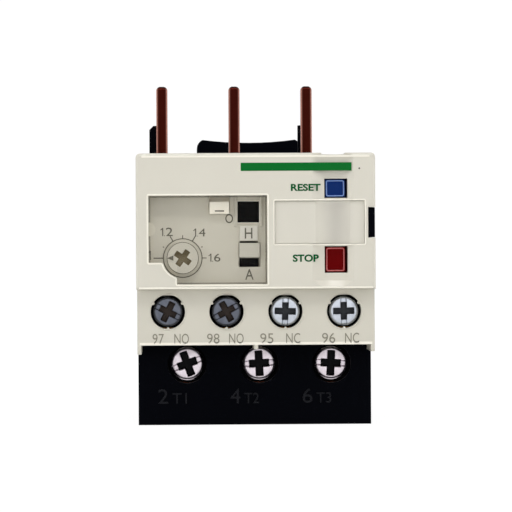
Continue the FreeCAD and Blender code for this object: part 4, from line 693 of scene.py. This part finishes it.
# The recess is moulded by an insert with a coarser texture, so its floor is greyer than the face.
# The material finds the floor by a box on the object's own coordinates.
floor_y = face + 2.6 * MM
recess_polycarbonate = new_finish(
    "cream polycarbonate, textured recess", "#d7d3c7", "#d2cec1", 14 * MM, 0.3 * MM, 0.008 * MM,
    (0.3, 0.38), 0.2 * MM, IOR=1.58,
)
shader = recess_polycarbonate.node_tree.nodes["Principled BSDF"]
under = shader.inputs["Base Color"].links[0].from_socket
on_floor = inside_box(
    recess_polycarbonate,
    (window_left - 0.05 * MM, floor_y - 0.3 * MM, window_bottom - 0.05 * MM),
    (window_right + 0.05 * MM, floor_y + 5.4 * MM, window_top + 0.05 * MM),
)
add_node(
    recess_polycarbonate, "ShaderNodeMix", {"Factor": on_floor, "A": under, "B": linear("#c9c4b4")},
    [shader.inputs["Base Color"]], data_type="RGBA",
)
dress(recess_polycarbonate, "front_cover")
# A painted highlight runs round the window.
bead(
    "window_lip_highlight", window_path, 0.16 * MM, 0.05 * MM, face, cream_highlight, "housing",
)
marker_low, marker_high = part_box("marker_plate")
MARKER_GAP = 0.22 * MM
# A painted highlight runs round the marker plate.
bead(
    "marker_lip_highlight",
    box_path(
        marker_low[0] - MARKER_GAP, marker_high[0] + MARKER_GAP, marker_low[2] - MARKER_GAP,
        marker_high[2] + MARKER_GAP, 0.3 * MM,
    ),
    0.12 * MM, 0.06 * MM, face, cream_highlight, "housing",
)


def ink_strokes(name, strokes, depth, material, body, proud=0.02 * MM):
    """A film of straight strokes. Each is a row of x and z at its start, x and z at its end, and
    its width at both, and becomes a flat box that is sunk a little into the face."""
    strokes = np.array(strokes)
    start, end, wide = strokes[:, 0:2], strokes[:, 2:4], strokes[:, 4:6]
    ahead = end - start
    ahead /= np.linalg.norm(ahead, axis=1, keepdims=True)
    side = np.column_stack([-ahead[:, 1], ahead[:, 0]])
    corners = np.stack(
        [start - side * wide[:, :1] / 2, end - side * wide[:, 1:] / 2,
         end + side * wide[:, 1:] / 2, start + side * wide[:, :1] / 2], 1,
    )
    count = len(strokes)
    flat = np.concatenate([corners, corners], 1)
    level = np.repeat([depth - proud, depth + INK_SUNK], 4)[None] + np.zeros((count, 8))
    points = np.stack([flat[..., 0], level, flat[..., 1]], -1)
    box = np.array(
        [(0, 1, 2, 3), (4, 7, 6, 5), (0, 4, 5, 1), (1, 5, 6, 2), (2, 6, 7, 3), (3, 7, 4, 0)]
    )
    faces = (box[None] + 8 * np.arange(count)[:, None, None]).reshape(-1, 4)
    film = new_piece(name, points, faces, [material], body)
    film.data.shade_flat()


# Painted highlights along the cover's foot and head.
LIP_HIGHLIGHT = 0.34 * MM
HIGHLIGHT_PROUD = 0.03 * MM
foot_z, head_z = cover_low[2] + 0.3 * MM, cover_high[2] - 0.65 * MM
seam_highlights = [
    (cover_low[0] + 0.5 * MM, foot_z, cover_high[0] - 0.5 * MM, foot_z, LIP_HIGHLIGHT, LIP_HIGHLIGHT),
    (cover_low[0] + 1.1 * MM, head_z, cover_high[0] - 1.1 * MM, head_z, LIP_HIGHLIGHT, LIP_HIGHLIGHT),
]
ink_strokes("cover_seam_highlights", seam_highlights, face, cream_highlight, "housing", HIGHLIGHT_PROUD)

# A painted highlight along the lip where the auxiliary housing meets the black block.
AUX_LIP_HIGHLIGHT = 0.5 * MM
aux_highlight_z = block_top + 0.28 * MM
ink_strokes(
    "aux_foot_highlight",
    [(cover_low[0] + 0.6 * MM, aux_highlight_z, cover_high[0] - 0.6 * MM, aux_highlight_z, AUX_LIP_HIGHLIGHT, AUX_LIP_HIGHLIGHT)],
    aux_face, cream_highlight, "housing", HIGHLIGHT_PROUD,
)

# The green band and the words by the buttons, pad printed, opaque, glossier than the plastic.
green_ink = new_finish(
    "green printing ink", "#0b6c2a", "#096627", 3 * MM, 0.15 * MM, 0.001 * MM,
    (0.36, 0.42), 0.02 * MM, Specular_IOR_Level=0.05,
)
label_ink = new_finish(
    "dark green printing ink", "#125a30", "#0f542b", 1.5 * MM, 0.15 * MM, 0.001 * MM,
    (0.36, 0.42), 0.02 * MM, Specular_IOR_Level=0.05,
)
BAND = 1.55 * MM
band_left, band_right = cover_high[0] - 25.3 * MM, cover_high[0] - 4.5 * MM
band_z = cover_high[2] - 2.62 * MM
ink_strokes(
    "green_band", [(band_left, band_z, band_right, band_z, BAND, BAND)], face, green_ink,
    "housing",
)
for words, left, right, rise, high in (
    ("RESET", -5.75, -0.15, 1.9, 1.35), ("STOP", -5.45, -0.55, 2.65, 1.4),
):
    key_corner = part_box(f"{words.lower()}_button")[0]
    lettering(
        f"label_{words.lower()}", words, key_corner[0] + left * MM, key_corner[0] + right * MM,
        key_corner[2] + rise * MM, key_corner[2] + (rise + high) * MM, face, 0.03 * MM, 0.035,
        label_ink, "housing",
    )


def inked_disc(name, x, z, radius, depth, material, body, inner=0.0, proud=0.02 * MM):
    """A flat film about a point, or a ring of it. Its radius follows the given function of angle,
    and its rows run from the inner share of that over the front, down the edge and back."""
    turn = np.linspace(0, 2 * np.pi, 120, endpoint=False)
    reach = radius(turn)
    share = np.array([inner, 1, 1, inner, inner])[:, None]
    level = np.array([-proud, -proud, INK_SUNK, INK_SUNK, -proud])[:, None] + depth
    points = np.stack(
        [x + share * reach * np.cos(turn), level + 0 * turn, z + share * reach * np.sin(turn)], -1
    )
    film = new_piece(name, points, grid_faces(len(share), len(turn)), [material], body)
    film.data.shade_flat()


# The mould's gate: a dark dot a third of a millimetre across, high on the right.
gate_mark = new_finish(
    "burnt gate mark", "#55524a", "#454239", 0.3 * MM, 0.1 * MM, 0.001 * MM,
    (0.5, 0.6), 0.02 * MM, Specular_IOR_Level=0.2,
)
inked_disc(
    "gate_mark", cover_high[0] - 3.02 * MM, cover_high[2] - 2.98 * MM,
    lambda turn: 0.17 * MM + 0 * turn, face, gate_mark, "housing",
)


# ---- Marker plate ----
# A loose snap-in plate of the same cream, smoother than the cover, left without a legend. It is
# painted greyer along the keys' middle line, as the shade of the groove there.
marker_polycarbonate = new_finish(
    "cream polycarbonate, smooth", "#d6d2c6", "#d1cdc1", 9 * MM, 0.3 * MM, 0.004 * MM,
    (0.28, 0.34), 0.12 * MM, IOR=1.58,
)
shader = marker_polycarbonate.node_tree.nodes["Principled BSDF"]
under = shader.inputs["Base Color"].links[0].from_socket
place = add_node(marker_polycarbonate, "ShaderNodeTexCoord", {}).outputs["Object"]
across = add_node(marker_polycarbonate, "ShaderNodeSeparateXYZ", {"Vector": place}).outputs["X"]
# A painted shade along the groove between the keys, darkest on this line.
groove_shade_line = 15.0 * MM
rising = add_node(
    marker_polycarbonate,
    "ShaderNodeMapRange",
    {"Value": across, "From Min": groove_shade_line - 3.4 * MM, "From Max": groove_shade_line},
    interpolation_type="SMOOTHSTEP",
).outputs["Result"]
falling = add_node(
    marker_polycarbonate,
    "ShaderNodeMapRange",
    {"Value": across, "From Min": groove_shade_line, "From Max": groove_shade_line + 4.0 * MM, "To Min": 1.0,
     "To Max": 0.0},
    interpolation_type="SMOOTHSTEP",
).outputs["Result"]
both = add_node(
    marker_polycarbonate, "ShaderNodeMath", {0: rising, 1: falling}, operation="MULTIPLY"
).outputs[0]
add_node(
    marker_polycarbonate, "ShaderNodeMix", {"Factor": both, "A": under, "B": linear("#bfbbb1")},
    [shader.inputs["Base Color"]], data_type="RGBA",
)
dress(marker_polycarbonate, "marker_plate")


# ---- Setting dial ----
# Acetal, a shade greyer than the cover, turned with a screwdriver. Its scale is printed on the
# floor of the recess: a ring, a long mark at each figure and short ones between.
grey_acetal = new_finish(
    "warm grey acetal", "#c8c3b4", "#c1bcac", 4 * MM, 0.2 * MM, 0.006 * MM,
    (0.36, 0.44), 0.2 * MM, IOR=1.48,
)
dress(grey_acetal, "setting_dial", "mechanism_frame", "adjusting_lever")
scale_ink = new_finish(
    "dark grey printing ink", "#6a6659", "#5e5a4e", 1 * MM, 0.1 * MM, 0.001 * MM,
    (0.46, 0.54), 0.02 * MM, Specular_IOR_Level=0.3,
)
RING = 3.72 * MM
inked_disc(
    "scale_ring", dial_x, dial_z, lambda turn: RING + 0 * turn, floor_y, scale_ink, "housing",
    inner=0.955,
)

# Each mark is its angle, the radii where it starts and ends, and its width.
marks = []
for degrees, start, end, width in (
    (180, 3.72, 5.5, 0.22), (150, 4.05, 4.3, 0.2), (120, 3.72, 4.75, 0.2), (90, 3.72, 4.3, 0.16),
    (60, 3.72, 4.75, 0.2), (30, 4.05, 4.3, 0.2), (0, 3.72, 4.5, 0.16),
):
    way = np.array([math.cos(math.radians(degrees)), math.sin(math.radians(degrees))]) * MM
    first, last = way * start + (dial_x, dial_z), way * end + (dial_x, dial_z)
    marks.append((*first, *last, width * MM, width * MM))
ink_strokes("scale_marks", marks, floor_y, scale_ink, "housing")
for name, words, left, right, bottom, top in (
    ("1.2", "2", -3.15, -1.85, 4.15, 5.75), ("1.4", "4", 3.05, 4.3, 4.05, 5.55),
    ("1.6", "6", 5.9, 7.1, -0.7, 0.8),
):
    lettering(
        f"scale_figure_{name}", words, dial_x + left * MM, dial_x + right * MM,
        dial_z + bottom * MM, dial_z + top * MM, floor_y, 0.02 * MM, 0.004, scale_ink, "housing",
    )

# The ones and points of the figures, in single strokes: the place of each foot from the dial's
# middle, and a one's height.
POINT_SIZE = 0.16 * MM
ones = []
for foot_x, foot_z, high in (
    (-6.1, -0.35, 1.75), (-3.75, 4.15, 1.55), (2.45, 4.05, 1.5), (5.3, -0.7, 1.5),
):
    x, z = dial_x + foot_x * MM, dial_z + foot_z * MM
    head = z + high * MM
    ones.append((x, z, x, head, 0.2 * MM, 0.2 * MM))
    ones.append((x, head - 0.08 * MM, x - 0.42 * MM, head - 0.42 * MM, 0.18 * MM, 0.16 * MM))
for foot_x, foot_z in ((-3.42, 4.15), (2.78, 4.05), (5.62, -0.7)):
    x, z = dial_x + foot_x * MM, dial_z + foot_z * MM
    ones.append((x, z, x, z + POINT_SIZE, 0.14 * MM, 0.14 * MM))
ink_strokes("scale_ones", ones, floor_y, scale_ink, "housing")


def cross_outline(half_length, half_width, angle):
    """Radius of a plus sign at each angle: the farther of its two bars, each the nearer of its end
    and its side."""

    def radius(turn):
        across = np.maximum(np.abs(np.cos(turn - angle)), 1e-6)
        up = np.maximum(np.abs(np.sin(turn - angle)), 1e-6)
        return np.maximum(
            np.minimum(half_length / across, half_width / up),
            np.minimum(half_length / up, half_width / across),
        )

    return radius


# The bottom of the driver recess is coloured browner and darker than the dial. The arrow is
# hot stamped in the scale's grey, and a line of the same rings the face.
darker_recess_floor = new_finish(
    "acetal, darker recess floor", "#8a7f68", "#75694f", 0.9 * MM, 0.15 * MM, 0.01 * MM,
    (0.6, 0.7), 0.05 * MM, Specular_IOR_Level=0.2,
)
dial_face = dial_low[1]
inked_disc(
    "dial_recess_floor", dial_x, dial_z,
    cross_outline(1.7 * MM, 0.55 * MM, math.radians(55)), dial_face + 0.78 * MM, darker_recess_floor,
    "dial",
)
ink_strokes(
    "dial_arrow",
    [(dial_x - 1.75 * MM, dial_z, dial_x - 2.85 * MM, dial_z, 1.0 * MM, 0.1 * MM)],
    dial_face, scale_ink, "dial",
)
inked_disc(
    "dial_ring", dial_x, dial_z, lambda turn: 3.0 * MM + 0 * turn, dial_face, scale_ink, "dial",
    inner=0.965,
)


# ---- Test tab, indicator and mode selector ----
# Small acetal knobs in the window, ivory for the test tab and the selector. The green trip flag
# waits above its opening, which shows a black guide until the relay trips.
ivory_acetal = new_finish(
    "polished ivory acetal", "#fff9ea", "#fbf3e0", 3 * MM, 0.2 * MM, 0.004 * MM,
    (0.3, 0.36), 0.15 * MM, IOR=1.48,
)
dress(ivory_acetal, "test_tab")
selector_acetal = new_finish(
    "ivory acetal", "#cac6b8", "#c2bdae", 2 * MM, 0.2 * MM, 0.005 * MM,
    (0.36, 0.44), 0.15 * MM, IOR=1.48,
)
dress(selector_acetal, "mode_selector")
green_acetal = new_finish(
    "green acetal", "#1d8a3e", "#1a8339", 3 * MM, 0.2 * MM, 0.004 * MM,
    (0.36, 0.44), 0.1 * MM, IOR=1.48,
)
dress(green_acetal, "trip_flag")
black_acetal = new_finish(
    "black acetal", "#020206", "#05050b", 3 * MM, 0.3 * MM, 0.002 * MM,
    (0.2, 0.28), 0.05 * MM, Specular_IOR_Level=0.03,
)
flag_low, flag_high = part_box("trip_flag")
FLAG_DROP = 4.3 * MM
flag_left, flag_right = flag_low[0], flag_high[0]
hole_bottom, hole_top = flag_low[2] - FLAG_DROP, flag_high[2] - FLAG_DROP


def dished_plate(name, left, right, bottom, top, depth, thickness, dish, material, body):
    """A plate whose front is hollow by the dish times (1-u^2)(1-v^2), u and v running from -1 to 1
    over its width and height, with a flat back and closed edges."""
    steps = 17
    u, v = np.meshgrid(np.linspace(-1, 1, steps), np.linspace(-1, 1, steps))
    x = (left + right) / 2 + u * (right - left) / 2
    z = (bottom + top) / 2 + v * (top - bottom) / 2
    front = np.stack([x, depth + dish * (1 - u**2) * (1 - v**2), z], -1)
    back = np.stack([x, np.full_like(x, depth + thickness), z], -1)
    points = np.concatenate([front, back[::-1]])
    index = np.arange(2 * steps * steps).reshape(2 * steps, steps)
    faces = np.stack([index[:-1, :-1], index[:-1, 1:], index[1:, 1:], index[1:, :-1]], -1)
    ends = np.stack([index[0, 1:], index[0, :-1], index[-1, :-1], index[-1, 1:]], -1)
    edge = index[:, 0]
    lefts = np.stack(
        [edge[: steps - 1], edge[1:steps], edge[-2 : steps - 1 : -1], edge[:steps:-1]], -1
    )
    rights = lefts[:, ::-1] + steps - 1
    new_piece(
        name, points, np.concatenate([faces.reshape(-1, 4), ends, lefts, rights]), [material],
        body,
    )


dished_plate(
    "flag_guide", flag_left - 0.5 * MM, flag_right + 0.5 * MM, hole_bottom - 0.4 * MM,
    hole_top + 0.4 * MM, flag_high[1] + 0.25 * MM, 0.5 * MM, 0.1 * MM, black_acetal, "housing",
)
HOLE_LIP = 0.08 * MM
# A painted highlight round the indicator's opening.
bead(
    "indicator_lip_highlight",
    box_path(
        flag_left - HOLE_LIP, flag_right + HOLE_LIP, hole_bottom - HOLE_LIP, hole_top + HOLE_LIP,
        0.15 * MM,
    ),
    HOLE_LIP, 0.1 * MM, floor_y, cream_highlight, "housing",
)
selector_low, selector_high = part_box("mode_selector")
FLANGE = 0.75 * MM
selector_left, selector_right = selector_low[0] + FLANGE, selector_high[0] - FLANGE

# The letters O, H and A, from the window's lower right corner. The H is on a raised block.
for words, left, right, bottom, top, proud in (
    ("O", -8.0, -6.52, 11.65, 13.4, 0.02), ("H", -4.35, -2.9, 8.75, 10.75, 0.62),
    ("A", -4.3, -2.7, 1.0, 3.0, 0.02),
):
    lettering(
        f"position_{words}", words, window_right + left * MM, window_right + right * MM,
        window_bottom + bottom * MM, window_bottom + top * MM, floor_y, proud * MM, 0.006,
        scale_ink, "housing",
    )

# The selector's low black foot with six grip ridges, and a black film painted as the gap's shadow
# above the knob.
GROUND, GAP_SHADOW = 1.7 * MM, 0.3 * MM
RIDGE_HALF, RIDGE_WIDTH = 0.5 * MM, 0.12 * MM
ridge_z = selector_low[2] + 1.1 * MM
shadow_gap_z = selector_high[2] - 1.9 * MM
ink_strokes(
    "selector_ground",
    [(selector_left + 0.1 * MM, ridge_z, selector_right - 0.15 * MM, ridge_z, GROUND, GROUND)],
    selector_high[1] - 1.0 * MM, black_acetal, "selector", proud=0.06 * MM,
)
ridges = []
for place in np.linspace(0.55, 2.95, 6):
    x = selector_left + place * MM
    ridges.append((x, ridge_z - RIDGE_HALF, x, ridge_z + RIDGE_HALF, RIDGE_WIDTH, RIDGE_WIDTH))
ink_strokes(
    "selector_ridges", ridges, selector_high[1] - 1.06 * MM, polished_polyamide, "selector",
    proud=0.05 * MM,
)
# A black film painted on the floor as the shadow in the gap.
ink_strokes(
    "selector_shadow_gap",
    [(selector_left + 0.1 * MM, shadow_gap_z, selector_left + 3.5 * MM, shadow_gap_z, GAP_SHADOW, GAP_SHADOW)],
    floor_y, black_acetal, "housing",
)

# The test tab's finger lip, with a dark film along it painted as the shadow of a slit.
test_low, test_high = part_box("test_tab")
lip_left, lip_right = test_low[0] + FLANGE, test_high[0] - FLANGE
SLIT_SHADOW = 0.26 * MM
slit_shadow_z = test_low[2] + 1.25 * MM
dished_plate(
    "test_lip", lip_left, lip_right, test_low[2] + 0.72 * MM, test_low[2] + 1.42 * MM,
    test_low[1] + 0.05 * MM, 0.85 * MM, 0.0, ivory_acetal, "test",
)
# A painted shadow stands for the slit.
ink_strokes(
    "test_slit_shadow",
    [(lip_left + 1.0 * MM, slit_shadow_z, lip_right - 0.95 * MM, slit_shadow_z, SLIT_SHADOW, SLIT_SHADOW)],
    test_low[1], scale_ink, "test",
)


# ---- Window flap ----
# A clear polycarbonate flap over the settings, slightly smoked, hinged on two moulded pegs at the
# right. Its edges are painted darker by a higher alpha, as shade for the light caught in the plate.
smoked_polycarbonate = new_finish(
    "smoked clear polycarbonate", "#3c382c", "#363226", 20 * MM, 3 * MM, 0.002 * MM,
    (0.05, 0.09), 0.1 * MM, IOR=1.58, Specular_IOR_Level=0.25,
)
EDGE_BAND = 0.5 * MM
EDGE_SHADE_ALPHA, PANE_ALPHA = 0.3, 0.035
on_pane = inside_box(
    smoked_polycarbonate,
    (window_left + EDGE_BAND, flap_low[1] - 1 * MM, window_bottom + EDGE_BAND),
    (window_right - EDGE_BAND, flap_high[1] + 1 * MM, window_top - EDGE_BAND),
)
add_node(
    smoked_polycarbonate, "ShaderNodeMapRange",
    {"Value": on_pane, "To Min": EDGE_SHADE_ALPHA, "To Max": PANE_ALPHA},
    [smoked_polycarbonate.node_tree.nodes["Principled BSDF"].inputs["Alpha"]],
)
dress(smoked_polycarbonate, "window_cover")


# ---- Buttons ----
# Acetal keys, dyed through, their edges rounded in the mould. A fine raised rim on each is painted
# lighter as a highlight.
blue_acetal = new_finish(
    "blue acetal", "#0b2b68", "#09265e", 2 * MM, 0.2 * MM, 0.004 * MM,
    (0.28, 0.36), 0.2 * MM, IOR=1.48, Specular_IOR_Level=0.06,
)
red_acetal = new_finish(
    "red acetal", "#640204", "#5a0203", 2 * MM, 0.2 * MM, 0.004 * MM,
    (0.28, 0.36), 0.2 * MM, IOR=1.48, Specular_IOR_Level=0.03,
)
blue_rim_highlight = new_finish(
    "blue acetal, painted rim highlight", "#6f8cc4", "#5d7cba", 1 * MM, 0.1 * MM, 0.002 * MM,
    (0.24, 0.3), 0.03 * MM, IOR=1.48,
)
red_rim_highlight = new_finish(
    "red acetal, painted rim highlight", "#b65a58", "#a84848", 1 * MM, 0.1 * MM, 0.002 * MM,
    (0.24, 0.3), 0.03 * MM, IOR=1.48,
)
KEY_SHOULDER, RIM_INSET = 0.7 * MM, 0.28 * MM
inset = KEY_SHOULDER + RIM_INSET
for name, dye, rim_highlight, slot in (
    ("reset", blue_acetal, blue_rim_highlight, "blue_plastic"),
    ("stop", red_acetal, red_rim_highlight, "red_plastic"),
):
    softened(f"{name}_button", f"{name}_key", 0.25 * MM, dye)
    low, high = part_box(f"{name}_button")
    # The rim's lighter colour is a painted highlight.
    bead(
        f"{name}_rim",
        box_path(low[0] + inset, high[0] - inset, low[2] + inset, high[2] - inset, 0.35 * MM),
        0.13 * MM, 0.08 * MM, low[1], rim_highlight, name,
    )


# ---- Studio ----
# A white paper sweep and soft lamps. The paper glows white to the camera and in reflections, and
# keeps a little of its own shade, so that the relay still stands in its shadow.
def seen_directly(shaded):
    """A socket that is 1 for camera, glossy and transmission rays and 0 for all others."""
    rays = add_node(shaded, "ShaderNodeLightPath", {}).outputs
    seen = rays["Is Camera Ray"]
    for kind in ("Is Glossy Ray", "Is Transmission Ray"):
        seen = add_node(
            shaded, "ShaderNodeMath", {0: seen, 1: rays[kind]}, operation="MAXIMUM"
        ).outputs[0]
    return seen


paper = bpy.data.materials.new("white paper sweep")
paper.use_nodes = True
shader = paper.node_tree.nodes["Principled BSDF"]
shader.inputs["Base Color"].default_value = linear("#f6f6f4")
shader.inputs["Roughness"].default_value = 0.9
PAPER_GLOW, GLOW_SHARE = 1.06, 0.9
glow = add_node(paper, "ShaderNodeEmission", {"Strength": PAPER_GLOW}).outputs["Emission"]
share = add_node(
    paper, "ShaderNodeMath", {0: seen_directly(paper), 1: GLOW_SHARE}, operation="MULTIPLY"
).outputs[0]
add_node(
    paper, "ShaderNodeMixShader", {0: share, 1: shader.outputs["BSDF"], 2: glow},
    [paper.node_tree.nodes["Material Output"].inputs["Surface"]],
)

# The sweep's profile: flat floor, a quarter round, and an upright back.
FLOOR_FRONT, FLOOR_BACK, BEND, BACK_HEIGHT = -1.5, 0.5, 0.3, 2.0
SWEEP_HALF = 2.0
bend = np.linspace(0, np.pi / 2, 13)
sweep_y = np.concatenate(
    [[FLOOR_FRONT, FLOOR_BACK], FLOOR_BACK + BEND * np.sin(bend), [FLOOR_BACK + BEND]]
)
sweep_z = np.concatenate([[0, 0], BEND * (1 - np.cos(bend)), [BACK_HEIGHT]])
count = len(sweep_y)
points = [
    (side, y, z) for side in (-SWEEP_HALF, SWEEP_HALF) for y, z in zip(sweep_y, sweep_z)
]
mesh = bpy.data.meshes.new("sweep")
mesh.from_pydata(points, [], [(i, i + count, i + count + 1, i + 1) for i in range(count - 1)])
mesh.materials.append(paper)
mesh.shade_smooth()
sweep = bpy.data.objects.new("sweep", mesh)
bpy.context.scene.collection.objects.link(sweep)
sweep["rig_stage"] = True

world = bpy.data.worlds.new("studio")
bpy.context.scene.world = world
world.use_nodes = True
background = world.node_tree.nodes["Background"]
background.inputs["Color"].default_value = (1.0, 1.0, 1.0, 1.0)

# The world lights the relay at the first of these strengths, and shows in its gloss at the second.
FILL, MIRRORED = 0.43, 1.0
add_node(
    world, "ShaderNodeMapRange",
    {"Value": seen_directly(world), "To Min": FILL, "To Max": MIRRORED},
    [background.inputs["Strength"]],
)


AIM_HEIGHT = 30 * MM


def soft_lamp(name, place, size, power):
    """An area lamp aimed at the relay."""
    light = bpy.data.lights.new(name, "AREA")
    light.shape = "RECTANGLE"
    light.size, light.size_y = size
    light.energy = power
    lamp = bpy.data.objects.new(name, light)
    lamp.location = place
    aim = mathutils.Vector((0, 0, AIM_HEIGHT)) - lamp.location
    lamp.rotation_euler = aim.to_track_quat("-Z", "Y").to_euler()
    bpy.context.scene.collection.objects.link(lamp)


soft_lamp("top_light", (0.0, -0.45, 0.75), (0.35, 0.2), 2.4)
soft_lamp("left_light", (-0.8, -0.35, 0.25), (0.2, 0.4), 1.8)
soft_lamp("right_light", (0.8, -0.35, 0.25), (0.2, 0.4), 1.6)
soft_lamp("front_light", (0.0, -0.9, 0.2), (0.9, 0.3), 0.6)

# The camera looks level at the front from a little to the left, with a long lens and a slight roll.
# The view is 96 mm wide at the front.
DISTANCE, ASIDE, HEIGHT, ROLL = 550 * MM, 12.75 * MM, 32.45 * MM, -0.3
camera = bpy.data.cameras.new("camera")
camera.sensor_width = 36.0
camera.lens = camera.sensor_width * DISTANCE / (96 * MM)
view = bpy.data.objects.new("camera", camera)
view.location = (-ASIDE, cad_low.y - DISTANCE, HEIGHT)
level = mathutils.Euler((math.pi / 2, 0.0, -math.atan2(ASIDE, DISTANCE))).to_matrix()
roll = mathutils.Matrix.Rotation(math.radians(ROLL), 3, "Z")
view.rotation_euler = (level @ roll).to_euler()
bpy.context.scene.collection.objects.link(view)
bpy.context.scene.camera = view
bpy.context.scene.view_settings.view_transform = "Standard"

low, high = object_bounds()
